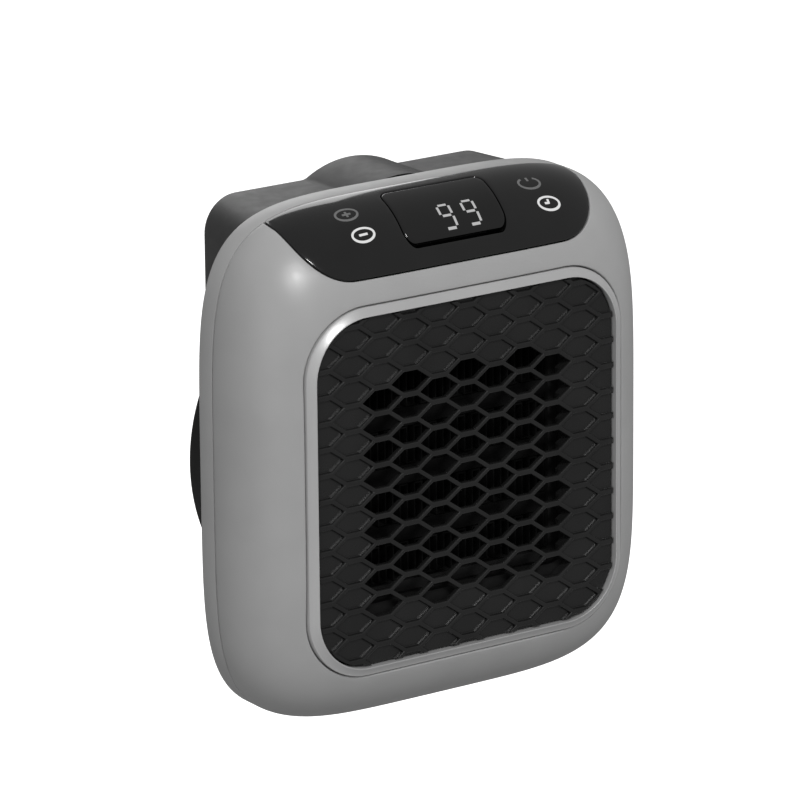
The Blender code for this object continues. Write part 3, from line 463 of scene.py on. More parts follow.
def sheet(outline, holes, lift, spacing, edge, wall, scale=(1, 1)):
    """A closed wall over a flat domain, with its cut edges rounded.

    lift turns a point of the domain into (point, outward normal). Each boundary gets a
    rounding of radius edge and then goes down the wall; the inner face is the outer one
    moved in by the wall.
    """
    sx, sy = scale
    loops = [outline] + list(holes)
    flat = [[(x * sx, y * sy) for x, y in loop] for loop in loops]
    points = [p for loop in flat for p in loop]
    edges, start = [], 0
    for loop in flat:
        edges += [(start + i, start + (i + 1) % len(loop)) for i in range(len(loop))]
        start += len(loop)
    near = {}
    cell = spacing
    for x, y in points:
        near.setdefault((math.floor(x / cell), math.floor(y / cell)), []).append((x, y))

    def clear(x, y):
        i, j = math.floor(x / cell), math.floor(y / cell)
        for di in (-1, 0, 1):
            for dj in (-1, 0, 1):
                for px, py in near.get((i + di, j + dj), ()):
                    if (px - x) ** 2 + (py - y) ** 2 < (0.5 * spacing) ** 2:
                        return False
        return True

    xs = [x for x, _ in flat[0]]
    ys = [y for _, y in flat[0]]
    across = max(2, round((max(xs) - min(xs)) / spacing))
    rows = max(2, round((max(ys) - min(ys)) / spacing))
    lines = [
        sorted(crossings(flat, min(ys) + (max(ys) - min(ys)) * (j + 0.001) / rows))
        for j in range(rows)
    ]
    for j, cuts in enumerate(lines):
        y = min(ys) + (max(ys) - min(ys)) * (j + 0.001) / rows
        for i in range(across + 1):
            x = min(xs) + (max(xs) - min(xs)) * i / across
            passed = sum(1 for cut in cuts if cut < x)
            if passed % 2 and clear(x, y):
                points.append((x, y))
    found, _, triangles, *_ = delaunay_2d_cdt(
        [Vector(p) for p in points], edges, [], 0, 1e-7, False
    )
    verts, normals, slot, seen = [], [], [], {}
    for p in found:
        place, normal = lift(p.x / sx, p.y / sy)
        key = tuple(round(c, 3) for c in place)
        if key not in seen:
            seen[key] = len(verts)
            verts.append(Vector(place))
            normals.append(Vector(normal))
        slot.append(seen[key])
    kept = []
    for triangle in triangles:
        middle = sum((found[i] for i in triangle), Vector((0, 0))) / 3
        cuts = sum(1 for cut in crossings(flat, middle.y) if cut < middle.x)
        welded = tuple(slot[i] for i in triangle)
        if cuts % 2 and len(set(welded)) == 3:
            kept.append(welded)
    one = kept[len(kept) // 2]
    facing = (verts[one[1]] - verts[one[0]]).cross(verts[one[2]] - verts[one[0]])
    if facing.dot(normals[one[0]]) < 0:
        kept = [t[::-1] for t in kept]
    count = len(verts)
    verts += [v - n * wall for v, n in zip(verts, normals)]
    faces = list(kept) + [tuple(count + i for i in t[::-1]) for t in kept]
    steps = 4 if edge else 0
    used = {}
    for t in kept:
        for a, b in ((t[0], t[1]), (t[1], t[2]), (t[2], t[0])):
            used[(a, b)] = True
    rim = [(a, b) for a, b in used if (b, a) not in used]
    following = dict(rim)
    while following:
        first = next(iter(following))
        chain = [first]
        step = following.pop(first)
        while step != first:
            chain.append(step)
            step = following.pop(step)
        rings = [[] for _ in range(steps + 1)]
        size = len(chain)
        for k, i in enumerate(chain):
            back, on = verts[chain[k - 1]], verts[chain[(k + 1) % size]]
            along = (on - back).normalized()
            out = along.cross(normals[i]).normalized()
            for s in range(steps):
                turn = math.pi / 2 * (s + 1) / steps
                fall = normals[i] * edge * (1 - math.cos(turn))
                rings[s].append(verts[i] + out * edge * math.sin(turn) - fall)
            rings[steps].append(verts[i] + out * edge - normals[i] * wall)
        base = len(verts)
        for one in rings:
            verts += one
        rows_of = [list(chain)]
        rows_of += [[base + r * size + k for k in range(size)] for r in range(steps + 1)]
        rows_of.append([count + i for i in chain])
        for one, two in zip(rows_of, rows_of[1:]):
            for k in range(size):
                m = (k + 1) % size
                faces.append((one[m], one[k], two[k], two[m]))
    return verts, faces


def crossings(loops, y):
    """Where a level line crosses the loops."""
    cuts = []
    for loop in loops:
        for (x1, y1), (x2, y2) in zip(loop, loop[1:] + loop[:1]):
            if (y1 > y) != (y2 > y):
                cuts.append((x2 - x1) * (y - y1) / (y2 - y1) + x1)
    return cuts


# ------------------------------------------------------------------ the crowned form


def section(drawn):
    """Half width, middle and half height of the body's outline, drawn in by a share."""
    half = BODY_HALF - SIDE_CROWN * drawn
    top = BODY_TOP - TOP_CROWN * drawn
    low = BODY_BOTTOM + BOTTOM_CROWN * drawn
    return half, (top + low) / 2, (top - low) / 2


def crown_point(turn, t):
    """A point of the crowned front: an angle round it, and t from the seam (0) to its face."""
    if t <= 1:
        lean = t * math.pi / 2
        c, s = max(0.0, math.cos(lean)), math.sin(lean)
        reach = (c**PROFILE_POWER + s**PROFILE_POWER) ** (-1 / PROFILE_POWER)
        drawn, y = 1 - reach * c, SHELL_DEPTH * (1 - reach * s)
    else:
        drawn, y = t, 0.0
    half, middle, rise = section(drawn)
    c, s = math.cos(turn), math.sin(turn)
    far = (abs(c / half) ** CORNER_POWER + abs(s / rise) ** CORNER_POWER) ** (-1 / CORNER_POWER)
    return Vector((far * c, y, middle + far * s))


def crown_lift(turn, t):
    step = 2e-4
    here = crown_point(turn, t)
    round_it = crown_point(turn + step, t) - crown_point(turn - step, t)
    inward = crown_point(turn, t + step) - crown_point(turn, max(0.0, t - step))
    normal = round_it.cross(inward).normalized()
    return here, normal


def lean_of(drawn):
    """The t at which the outline has been drawn in by a share."""
    if drawn >= 1:
        return drawn
    left = 1 - drawn
    reach = (1 - left**PROFILE_POWER) ** (1 / PROFILE_POWER)
    return math.atan2(reach, left) / (math.pi / 2)


def from_front(x, z):
    """(turn, t) of the crowned front at a point of its front view."""
    low, high = 0.0, 3.0
    for _ in range(40):
        drawn = (low + high) / 2
        half, middle, rise = section(drawn)
        if abs(x / half) ** CORNER_POWER + abs((z - middle) / rise) ** CORNER_POWER < 1:
            low = drawn
        else:
            high = drawn
    half, middle, rise = section(low)
    turn = math.atan2(z - middle, x)
    return (turn if turn > -math.pi / 2 else turn + 2 * math.pi), lean_of(low)


def from_plan(x, y):
    """(turn, t) of the crowned front's top at a point of its plan."""
    reach = (SHELL_DEPTH - y) / SHELL_DEPTH
    left = (1 - reach**PROFILE_POWER) ** (1 / PROFILE_POWER)
    half, middle, rise = section(1 - left)
    z = middle + rise * (1 - abs(x / half) ** CORNER_POWER) ** (1 / CORNER_POWER)
    return math.atan2(z - middle, x), math.atan2(reach, left) / (math.pi / 2)


SEAM_T = EDGE / SHELL_DEPTH / (math.pi / 2)
DOMAIN = (70.0, 42.0)  # millimetres of surface to one unit of turn and of t, about


def panel_cut(inset):
    """The panel's lower edge in the front view, from the seam on the right to that on the left."""
    half, low, radius = PANEL_HALF - inset, PANEL_LOW + inset, PANEL_CORNER - inset
    middle = (half - radius, low + radius)

    def corner(angle):
        x, z = middle[0] + radius * math.cos(angle), middle[1] + radius * math.sin(angle)
        return from_front(x, z)

    first, last = -math.pi / 2, 0.0
    for _ in range(40):
        angle = (first + last) / 2
        if corner(angle)[1] > SEAM_T:
            first = angle
        else:
            last = angle
    count = 24
    right = [corner(first * (1 - i / count) - math.pi / 2 * i / count) for i in range(count + 1)]
    right[0] = (right[0][0], SEAM_T)
    straight = 60
    bottom = [from_front(middle[0] * (1 - 2 * i / straight), low) for i in range(1, straight)]
    return right + bottom + [(math.pi - a, t) for a, t in right[::-1]]


def opening_cut(grow):
    """The ring's opening in the front view, from the bottom's left round to its right."""
    width, height = RING_WIDTH + 2 * grow, RING_HEIGHT + 2 * grow
    outline = spread(rounded(width, height, RING_CORNER + grow), 1.2)
    path = sorted(from_front(x, z) for x, z in outline)
    return path


def make_front_shell():
    start, end = -math.pi / 2, 1.5 * math.pi
    panel = panel_cut(-EDGE - GAP)
    right, left = panel[0][0], panel[-1][0]
    opening = opening_cut(0.5 + EDGE)
    first, last = opening[0], opening[-1]
    level = (first[1] + last[1]) / 2
    between = [p for p in opening if start + 0.01 < p[0] < end - 0.01]
    inner = [(start, level)] + between + [(end, level)]
    step = 1.3 / DOMAIN[0]

    def run(one, two, t):
        count = max(1, round(abs(two - one) / step))
        return [(one + (two - one) * i / count, t) for i in range(count)]

    rows = 34
    outline = run(start, right, SEAM_T)
    outline += panel
    outline += run(left, end, SEAM_T)[1:]
    outline += [(end, SEAM_T + (level - SEAM_T) * i / rows) for i in range(rows)]
    outline += inner[::-1]
    outline += [(start, level + (SEAM_T - level) * i / rows) for i in range(1, rows)]
    shell = sheet(outline, [], crown_lift, 1.3, EDGE, WALL, DOMAIN)
    return shell


def slope_of(x, y):
    """How much shorter the plan is than the surface, front to back, at a point of the crown."""
    one, _ = crown_lift(*from_plan(x, y - 0.5))
    two, _ = crown_lift(*from_plan(x, y + 0.5))
    return 1.0 / (two - one).length


def make_panel():
    path = panel_cut(EDGE)
    right, left = path[0][0], path[-1][0]
    count = round((left - right) * DOMAIN[0] / 1.0)
    outline = path + [(left + (right - left) * i / count, SEAM_T) for i in range(1, count)]
    window = lens_outline(GAP + EDGE)
    panel = sheet(outline, [window], crown_lift, 1.0, EDGE, WALL, DOMAIN)
    made = make_piece("control_panel_gloss", *panel, GLOSS_BLACK_ACRYLIC, 40)
    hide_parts("control_panel")
    lens = sheet(lens_outline(-EDGE), [], crown_lift, 1.0, EDGE, WALL, DOMAIN)
    made_lens = make_piece("display_window", *lens, SMOKED_ACRYLIC, 40)
    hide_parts("display_lens")
    return [(made, "housing", "gloss_panel"), (made_lens, "housing", "gloss_panel")]


def lens_outline(grow):
    width = LENS_HIGH.x - LENS_LOW.x + 2 * grow
    length = LENS_REAR - LENS_LOW.y + 2 * grow
    middle = ((LENS_LOW.x + LENS_HIGH.x) / 2, (LENS_LOW.y + LENS_REAR) / 2)
    outline = spread(rounded(width, length, LENS_CORNER + grow, middle, 8), 0.9)
    return [from_plan(x, max(0.02, y)) for x, y in outline]


def mark(strokes, centre, width, height=0.05, turn=0.0):
    """Thin strokes laid on the crown about a point of its plan, in millimetres of surface."""
    cx, cy = centre
    squash = slope_of(cx, cy)
    parts = []
    for path, closed in strokes:
        points = [Vector(p) for p in path]
        size = len(points)
        rows = []
        for i, p in enumerate(points):
            back = points[i - 1] if closed or i else p
            on = points[(i + 1) % size] if closed or i < size - 1 else p
            along = (on - back).normalized()
            side = Vector((-along.y, along.x)) * width / 2
            row = []
            for q in (p - side, p + side):
                x, y = cx + q.x, cy + q.y * squash
                place, normal = crown_lift(*from_plan(x, y))
                row.append((place, normal))
            (one, n1), (two, n2) = row
            rows.append([one - n1 * 0.1, one + n1 * height, two + n2 * height, two - n2 * 0.1])
        parts.append(loft(rows, True, (not closed, not closed), closed))
    return join_meshes(parts)


def key_ring(start=0.0, end=360.0, steps=40):
    """A touch key's oval ring, or a part of it between two angles in degrees."""
    points = [(x * KEY_HALF[0], y * KEY_HALF[1]) for x, y in arc((0, 0), 1, start, end, steps)]
    return (points[:-1], True) if end - start == 360 else (points, False)


def line(*points):
    out = []
    for (x1, y1), (x2, y2) in zip(points, points[1:]):
        out += [(x1 + (x2 - x1) * i / 4, y1 + (y2 - y1) * i / 4) for i in range(4)]
    return out + [points[-1]], False


def make_marks():
    """Icons of the four touch keys, and the two lit digits under the window."""
    signs = {
        "minus": [key_ring(), line((-1.3, 0), (1.3, 0))],
        "plus": [key_ring(), line((-1.3, 0), (1.3, 0)), line((0, -0.95), (0, 0.95))],
        "timer": [key_ring(), line((0, 1.2), (0, 0), (-1.3, 0))],
        "power": [key_ring(125, 415), line((0, 0.7), (0, 2.1))],
    }
    made = []
    for name, strokes in signs.items():
        ink = PANEL_INK if name in ("minus", "timer") else DIM_INK
        piece = make_piece(f"key_mark_{name}", *mark(strokes, KEY_PLACES[name], KEY_STROKE), ink, 0)
        made.append((piece, "housing", "white_plastic"))
    parts = [mark(nine(), (x, DIGIT_Y), DIGIT_STROKE) for x in DIGIT_X]
    piece = make_piece("display_digits", *join_meshes(parts), LED_SEGMENT, 0)
    made.append((piece, "housing", "white_plastic"))
    return made


def nine():
    """Strokes of a seven-segment nine: all segments but the lower left one."""
    half, rise, gap = DIGIT_SIZE[0] / 2, DIGIT_SIZE[1] / 2, 0.5
    return [
        line((-half + gap, rise), (half - gap, rise)),
        line((-half + gap, 0), (half - gap, 0)),
        line((-half + gap, -rise), (half - gap, -rise)),
        line((-half, gap), (-half, rise - gap)),
        line((half, gap), (half, rise - gap)),
        line((half, -rise + gap), (half, -gap)),
    ]


# ------------------------------------------------------------------ grille and ring


def ring_loop(inset, y, steps=16):
    width, height = RING_WIDTH - 2 * inset, RING_HEIGHT - 2 * inset
    outline = rounded(width, height, RING_CORNER - inset, steps=steps)
    return [(x, y, z) for x, z in outline]


def make_ring():
    lip = RING_FRONT + 1.4
    profile = [(0.0, RING_BACK), (0.0, lip + 0.3), (0.1, lip + 0.08), (0.3, lip)]
    profile += [(0.55, lip - 0.1), (2.0, RING_FRONT + 0.22), (2.22, RING_FRONT + 0.02)]
    profile += [(2.38, RING_FRONT), (2.47, RING_FRONT + 0.1), (RING_BAND, RING_FRONT + 0.25)]
    profile += [(RING_BAND, RING_BACK)]
    ring = loft([ring_loop(*step) for step in profile], ring=True)
    made = make_piece("grille_ring_satin", *ring, SATIN_SILVER, 40)
    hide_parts("grille_ring")
    return [(made, "housing", "silver_ring")]


def new_tree(name, inputs):
    """An empty Geometry Nodes tree with a geometry in and out and the named sizes."""
    tree = bpy.data.node_groups.new(name, "GeometryNodeTree")
    tree.interface.new_socket("Geometry", in_out="INPUT", socket_type="NodeSocketGeometry")
    for label, kind in inputs.items():
        tree.interface.new_socket(label, in_out="INPUT", socket_type=kind)
    tree.interface.new_socket("Geometry", in_out="OUTPUT", socket_type="NodeSocketGeometry")
    return tree, add(tree, "NodeGroupInput")


def close_tree(tree, geometry, material):
    """Ends a tree: its instances made real, with one material, to its output."""
    real = add(tree, "GeometryNodeRealizeInstances", {}, {"Geometry": geometry})
    links = {"Geometry": real.outputs[0]}
    skin = add(tree, "GeometryNodeSetMaterial", {"Material": material}, links)
    add(tree, "NodeGroupOutput", {}, {"Geometry": skin.outputs[0]})


def grow(name, base, tree, values, material, smooth=30):
    """Runs a tree on a base piece and keeps the result as a plain mesh."""
    modifier = base.modifiers.new(tree.name, "NODES")
    modifier.node_group = tree
    for item in tree.interface.items_tree:
        if item.in_out == "INPUT" and item.name in values:
            modifier[item.identifier] = values[item.name]
    evaluated = base.evaluated_get(bpy.context.evaluated_depsgraph_get())
    data = bpy.data.meshes.new_from_object(evaluated)
    data.name = name
    base.modifiers.clear()
    bpy.data.objects.remove(base)
    data.materials.clear()
    data.materials.append(material)
    made = bpy.data.objects.new(name, data)
    bpy.context.scene.collection.objects.link(made)
    data.shade_smooth()
    data.set_sharp_from_angle(angle=math.radians(smooth))
    return made


def drop(*things):
    for thing in things:
        bpy.data.objects.remove(thing)


def cell_cutter(name, steps):
    """A long hexagon cutter about the origin from (grow, depth) steps."""
    length, flat, height = CELL_SIZE
    loops = []
    for grown, y in steps:
        point, half, rise = length / 2 + grown * 1.25, flat / 2 + grown * 0.4, height / 2 + grown
        corners = [(point, 0), (half, rise), (-half, rise)]
        corners += [(-x, -z) for x, z in corners]
        loops.append([(x, y, z) for x, z in corners])
    verts, faces = loft(loops)
    return make_piece(name, [Vector(v) - HOUSING for v in verts], faces, BLACK_ABS)


def honeycomb_tree(open_cell, blind_cell, pocket):
    tree, sizes = new_tree(
        "honeycomb",
        {"Column Pitch": "NodeSocketFloat", "Row Pitch": "NodeSocketFloat",
         "Columns": "NodeSocketInt", "Rows": "NodeSocketInt", "Open Reach": "NodeSocketInt",
         "Open Rows": "NodeSocketInt", "Centre": "NodeSocketVector"},
    )

    def maths(operation, one, two=None):
        values, links = {"operation": operation}, {}
        for slot, value in ((0, one), (1, two)):
            if isinstance(value, (int, float)):
                values[slot] = float(value)
            elif value is not None:
                links[slot] = value
        return add(tree, "ShaderNodeMath", values, links).outputs[0]

    out = sizes.outputs
    total = maths("MULTIPLY", out["Columns"], out["Rows"])
    dots = add(tree, "GeometryNodePoints", {}, {"Count": total})
    index = add(tree, "GeometryNodeInputIndex").outputs[0]
    column = maths("FLOOR", maths("DIVIDE", maths("ADD", index, 0.5), out["Rows"]))
    row = maths("SUBTRACT", index, maths("MULTIPLY", column, out["Rows"]))
    column = maths("SUBTRACT", column, maths("DIVIDE", maths("SUBTRACT", out["Columns"], 1.0), 2.0))
    row = maths("SUBTRACT", row, maths("DIVIDE", maths("SUBTRACT", out["Rows"], 1.0), 2.0))
    odd = maths("ABSOLUTE", maths("MODULO", column, 2.0))
    level = maths("SUBTRACT", row, maths("MULTIPLY", odd, 0.5))
    across = maths("MULTIPLY", column, out["Column Pitch"])
    up = maths("MULTIPLY", level, out["Row Pitch"])
    spot = add(tree, "ShaderNodeCombineXYZ", {}, {0: across, 2: up})
    moved = add(
        tree, "ShaderNodeVectorMath", {"operation": "ADD"}, {0: spot.outputs[0], 1: out["Centre"]}
    )
    links = {"Geometry": dots.outputs[0], "Position": moved.outputs[0]}
    placed = add(tree, "GeometryNodeSetPosition", {}, links)
    near = maths("LESS_THAN", maths("ABSOLUTE", column), maths("ADD", out["Open Reach"], 0.5))
    within = maths("LESS_THAN", maths("ABSOLUTE", row), maths("DIVIDE", out["Open Rows"], 2.0))
    through = maths("MULTIPLY", near, within)
    blind = maths("SUBTRACT", 1.0, through)
    cutters = []
    for cell, chosen in ((open_cell, through), (blind_cell, blind)):
        shape = add(tree, "GeometryNodeObjectInfo", {"Object": cell})
        links = {"Points": placed.outputs[0], "Instance": shape.outputs["Geometry"]}
        links["Selection"] = chosen
        put = add(tree, "GeometryNodeInstanceOnPoints", {}, links)
        cutters.append(put.outputs[0])
    joined = add(tree, "GeometryNodeJoinGeometry")
    behind = add(tree, "GeometryNodeObjectInfo", {"Object": pocket})
    for cutter in cutters + [behind.outputs["Geometry"]]:
        tree.links.new(cutter, joined.inputs[0])
    solid = add(tree, "GeometryNodeRealizeInstances", {}, {"Geometry": joined.outputs[0]})
    cut = add(
        tree,
        "GeometryNodeMeshBoolean",
        {"operation": "DIFFERENCE", "solver": "EXACT"},
        {"Mesh 1": out["Geometry"], "Mesh 2": solid.outputs[0]},
    )
    cut.inputs["Self Intersection"].default_value = True
    close_tree(tree, cut.outputs[0], BLACK_ABS)
    return tree


def make_honeycomb():
    width, height = grille_high.x - grille_low.x, grille_high.z - grille_low.z
    front, back = grille_low.y, grille_high.y
    corner = RING_CORNER - RING_BAND - 0.5
    loops = []
    for inset, y in ((0, back), (0, front + 0.4), (0.12, front + 0.12), (0.4, front)):
        outline = rounded(width - 2 * inset, height - 2 * inset, corner - inset)
        loops.append([(x, y, z) for x, z in outline])
    plate = make_piece("grille_plate", *loft(loops), BLACK_ABS)
    floor = RECESS
    steps = [(0.42, -1.0), (0.38, 0.0), (0.14, 0.12), (0.0, 0.38)]
    through = cell_cutter("open_cell", steps + [(0.0, back - front + 1)])
    blind = cell_cutter("blind_cell", steps + [(0.0, floor - 0.15), (-0.15, floor)])
    half = (OPEN_REACH + 0.35) * CELL_PITCH[0]
    level = -CELL_PITCH[1] / 4
    outline = rounded(2 * half, (OPEN_ROWS + 0.4) * CELL_PITCH[1], 2.0, (0, level), 4)
    room = loft([[(x, y, z) for x, z in outline] for y in (front + WEB_DEPTH, back + 1)])
    pocket = make_piece("web_pocket", *room, BLACK_ABS)
    tree = honeycomb_tree(through, blind, pocket)
    values = {
        "Column Pitch": CELL_PITCH[0] * MM,
        "Row Pitch": CELL_PITCH[1] * MM,
        "Columns": 13,
        "Rows": 17,
        "Open Reach": OPEN_REACH,
        "Open Rows": OPEN_ROWS,
        "Centre": world((0, front, 0)),
    }
    made = grow("honeycomb_grille_cells", plate, tree, values, BLACK_ABS, 25)
    drop(through, blind, pocket)
    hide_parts("honeycomb_grille")
    return [(made, "housing", "black_plastic")]


# ------------------------------------------------------------------ back


def body_section(inset, count=300):
    half, middle, rise = section(0)
    points = []
    for i in range(count):
        a = 2 * math.pi * i / count
        c, s = math.cos(a), math.sin(a)
        far = (abs(c / half) ** CORNER_POWER + abs(s / rise) ** CORNER_POWER) ** (-1 / CORNER_POWER)
        x, z = far * c, far * s
        gx = abs(x / half) ** (CORNER_POWER - 1) / half * math.copysign(1, x)
        gz = abs(z / rise) ** (CORNER_POWER - 1) / rise * math.copysign(1, z)
        size = math.hypot(gx, gz)
        points.append((x - gx / size * inset, middle + z - gz / size * inset))
    return points


def make_frame():
    profile = [(2.4, FRAME_FRONT), (EDGE, FRAME_FRONT)]
    profile += [(0.1, FRAME_FRONT + 0.1), (0.0, FRAME_FRONT + EDGE)]
    for i in range(9):
        turn = math.pi / 2 * i / 8
        y = FRAME_BACK - FRAME_EDGE + FRAME_EDGE * math.sin(turn)
        profile.append((FRAME_EDGE * (1 - math.cos(turn)), y))
    side = loft(upright((body_section(inset), y) for inset, y in profile), caps=(False, False))
    outline = body_section(FRAME_EDGE)
    seats = [circle(SCREW_SEAT, place, 32) for place in screw_places()]
    inlet = drum_section(DRUM_RADIUS - INLET_MARGIN, DRUM_TOP - 3.0)
    wires = rounded(BOX_HALF, WIRE_OPENING, 4, (0, PLUG_RISE), 5)
    holes = seats + [spread(inlet, 2.0), spread(wires, 2.0)]
    back = sheet(outline, holes, flat_at(FRAME_BACK), 4.0, 0.15, FRAME_WALL)
    ends = (FRAME_FRONT, FRAME_BACK - FRAME_WALL)
    lining = loft(upright((body_section(WALL), y) for y in ends), caps=(False, False))
    made = make_piece("back_frame_satin", *join_meshes([side, back, lining]), SATIN_GREY_ABS, 35)
    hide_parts("back_frame")
    return [(made, "housing", "grey_plastic")]


def drum_section(radius, chord, steps=120):
    """A circle about the fan's axis, cut flat at a height."""
    start = math.degrees(math.asin(min(0.98, (chord + FAN_DROP) / radius)))
    return arc((0, -FAN_DROP), radius, 180 - start, 360 + start, steps)


def box_section(half, inset, fine=1):
    """Back view of the plug box: rounded top corners and a hump round the plug's axis."""
    half -= inset
    top, low = BOX_TOP - inset, BOX_FOOT + inset
    hump, fillet, corner = HUMP_RADIUS - inset, HUMP_FILLET + inset, BOX_CORNER - inset
    across = math.sqrt((hump + fillet) ** 2 - (top + fillet) ** 2)
    lean = math.degrees(math.atan2(top + fillet, across))
    foot = max(0.4, 3 - inset)
    right = arc((half - foot, low + foot), foot, -90, 0, 8)
    right += [(half, SWITCH_LOW), (half, SWITCH_HIGH)]
    right += arc((half - corner, top - corner), corner, 0, 90, 16)
    right += arc((across, top + fillet), fillet, -90, lean - 180, 14)
    right += arc((0, 0), hump, lean, 90, 24)[1:]
    left = [(-x, z) for x, z in right[-2::-1]]
    return [(x, PLUG_RISE + z) for x, z in right + left]


def box_half(y):
    return BOX_HALF + BOX_DRAFT * (box_high.y - y) / (box_high.y - box_low.y)


def make_plug_box():
    front, back = box_low.y, box_high.y
    middle, lean = (front + back) / 2, math.atan2(BOX_DRAFT, back - front)
    near, far = middle - SWITCH_REACH * math.cos(lean), middle + SWITCH_REACH * math.cos(lean)
    loops = [[(x, y, z) for x, z in box_section(box_half(y), 0)] for y in (front, near, far)]
    for i in range(9):
        turn = math.pi / 2 * i / 8
        inset = BOX_EDGE * (1 - math.cos(turn))
        y = back - BOX_EDGE + BOX_EDGE * math.sin(turn)
        loops.append([(x, y, z) for x, z in box_section(box_half(y), inset)])
    verts, faces = loft(loops, caps=(False, False))
    low, high = PLUG_RISE + SWITCH_LOW, PLUG_RISE + SWITCH_HIGH

    def in_opening(face):
        corners = [verts[i] for i in face]
        x, y, z = (sum(corner[axis] for corner in corners) / len(corners) for axis in range(3))
        return x > 0 and near < y < far and low < z < high

    side = (verts, [face for face in faces if not in_opening(face)])
    corners = ((near, low), (far, low), (far, high), (near, high))
    rim = loft(
        [[(box_half(y) - depth, y, z) for y, z in corners] for depth in (0.0, BOX_WALL)],
        caps=(False, False),
    )
    outline = box_section(box_half(back), BOX_EDGE)
    hole = circle(DISC_RADIUS + 0.5 + EDGE, (0, PLUG_RISE), 96)
    face = sheet(outline, [hole], flat_at(back), 3.0, EDGE, BOX_WALL)
    made = make_piece("plug_box_dark", *join_meshes([side, rim, face]), DARK_GREY_ABS, 35)
    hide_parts("plug_box")
    return [(made, "housing", "dark_plastic")]


def make_drum():
    front, back = drum_low.y, drum_high.y
    edge = DRUM_EDGE
    profile = [(0.0, front), (0.0, back - edge)]
    profile += [
        (edge * (1 - math.cos(a)), back - edge + edge * math.sin(a)) for a in quarter(6)
    ]
    sections = ((drum_section(DRUM_RADIUS - inset, DRUM_TOP - inset), y) for inset, y in profile)
    side = loft(upright(sections), caps=(False, False))
    outline = drum_section(DRUM_RADIUS - edge, DRUM_TOP - edge)
    face = sheet(outline, list(drum_slots()), flat_at(back), 4.0, 0.3, DRUM_WALL)
    made = make_piece("intake_drum_slotted", *join_meshes([side, face]), BLACK_PBT, 35)
    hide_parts("intake_drum")
    return [(made, "housing", "black_plastic")]


def drum_slots():
    """Upright slots with round ends, as long as the drum's face is high there."""
    radius, high, width, hub = DRUM_RADIUS - 7.5, DRUM_TOP - 6.5, SLOT_WIDTH, HUB_RADIUS
    count = int(radius / (2 * width))
    for i in range(-count, count + 1):
        x = i * 2 * width
        room = math.sqrt(radius**2 - x**2)
        low, top = -FAN_DROP - room, min(high, -FAN_DROP + room)
        spans = [(low, top)]
        if top + FAN_DROP > hub and low + FAN_DROP < -hub:
            spans = [(low, -FAN_DROP - width), (-FAN_DROP + width, top)]
        for start, end in spans:
            middle = (x, (start + end) / 2)
            slot = rounded(width - 0.6, end - start - 0.6, (width - 0.6) / 2 - 0.01, middle, 5)
            yield spread(slot, 2.0)


def make_plug():
    disc_profile = [(DISC_RADIUS - 0.6, -DISC_THICKNESS), (DISC_RADIUS, 0.6 - DISC_THICKNESS)]
    disc_profile.append((DISC_RADIUS, -1.0))
    disc_profile += [(DISC_RADIUS - 1 + math.cos(a), -1 + math.sin(a)) for a in quarter(6)]
    loops = [
        [(x, y + WALL_FACE, z + PLUG_RISE) for x, z in circle(r, points=96)]
        for r, y in disc_profile
    ]
    side = loft(loops, caps=(True, False))
    slots = []
    for _, side_of, width in PLUG_BLADES:
        middle = (side_of * BLADE_SPACING / 2, PLUG_RISE)
        slots.append(rounded(BLADE_THICKNESS + 0.9, width + 0.9, 0.5, middle, 3))
    face = sheet(
        circle(DISC_RADIUS - 1, (0, PLUG_RISE), 96), slots,
        flat_at(WALL_FACE), 2.0, 0.15, 8.0,
    )
    disc = make_piece("plug_disc_dark", *join_meshes([side, face]), DARK_GREY_ABS, 35)
    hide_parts("plug_disc")
    made = [(disc, "plug", "dark_plastic")]
    for name, _, width in PLUG_BLADES:
        low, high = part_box(f"plug_blade_{name}")
        low, high = low / MM, high / MM
        x = (low.x + high.x) / 2
        loops = []
        for inset, y in ((0.0, low.y), (0.0, high.y - 1.6), (0.35, high.y - 0.7), (0.55, high.y)):
            thickness = BLADE_THICKNESS - 2 * min(inset, 0.5)
            outline = rounded(thickness, width - 2 * inset * 1.4, 0.2, (x, 0), 2)
            loops.append([(a, y, b) for a, b in outline])
        verts, faces = loft(loops)
        verts = [Vector(v) - HOUSING for v in verts]
        blade = make_piece(f"plug_blade_nickel_{name}", verts, faces, NICKEL_BRASS, 20)
        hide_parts(f"plug_blade_{name}")
        made.append((blade, "plug", "brass"))
    return made


def cross_recess(centre, reach=1.9, half=0.45):
    """Outline of a cross recess in a screw's head."""
    corner = [(reach, -half), (reach, half), (half, half)]
    points = []
    for quarter in range(4):
        c, s = round(math.cos(quarter * math.pi / 2)), round(math.sin(quarter * math.pi / 2))
        points += [(centre[0] + x * c - z * s, centre[1] + x * s + z * c) for x, z in corner]
    return points


def make_screws():
    """Pan-head case screws with a cross recess, sunk in their seats."""
    made = []
    for side in ("left", "right", "foot_left", "foot_right"):
        low, high = size_of(f"case_screw_{side}")
        x, z = (low.x + high.x) / 2, (low.z + high.z) / 2
        radius, face = (high.x - low.x) / 2, high.y
        seat = face - SCREW_HEAD
        steps = [(SCREW_SHANK, low.y), (SCREW_SHANK, seat), (radius, seat)]
        steps += [(radius, face - 0.25), (radius - 0.25, face)]
        body = loft(upright((circle(r, (x, z), 40), y) for r, y in steps), caps=(True, False))
        top = sheet(
            circle(radius - 0.25, (x, z), 40), [cross_recess((x, z))],
            flat_at(face), 1.0, 0.05, SCREW_HEAD * 0.7,
        )
        screw = make_piece(f"case_screw_cross_{side}", *join_meshes([body, top]), ZINC_STEEL, 30)
        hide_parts(f"case_screw_{side}")
        made.append((screw, "housing", "screw_steel"))
    return made


# ------------------------------------------------------------------ scene


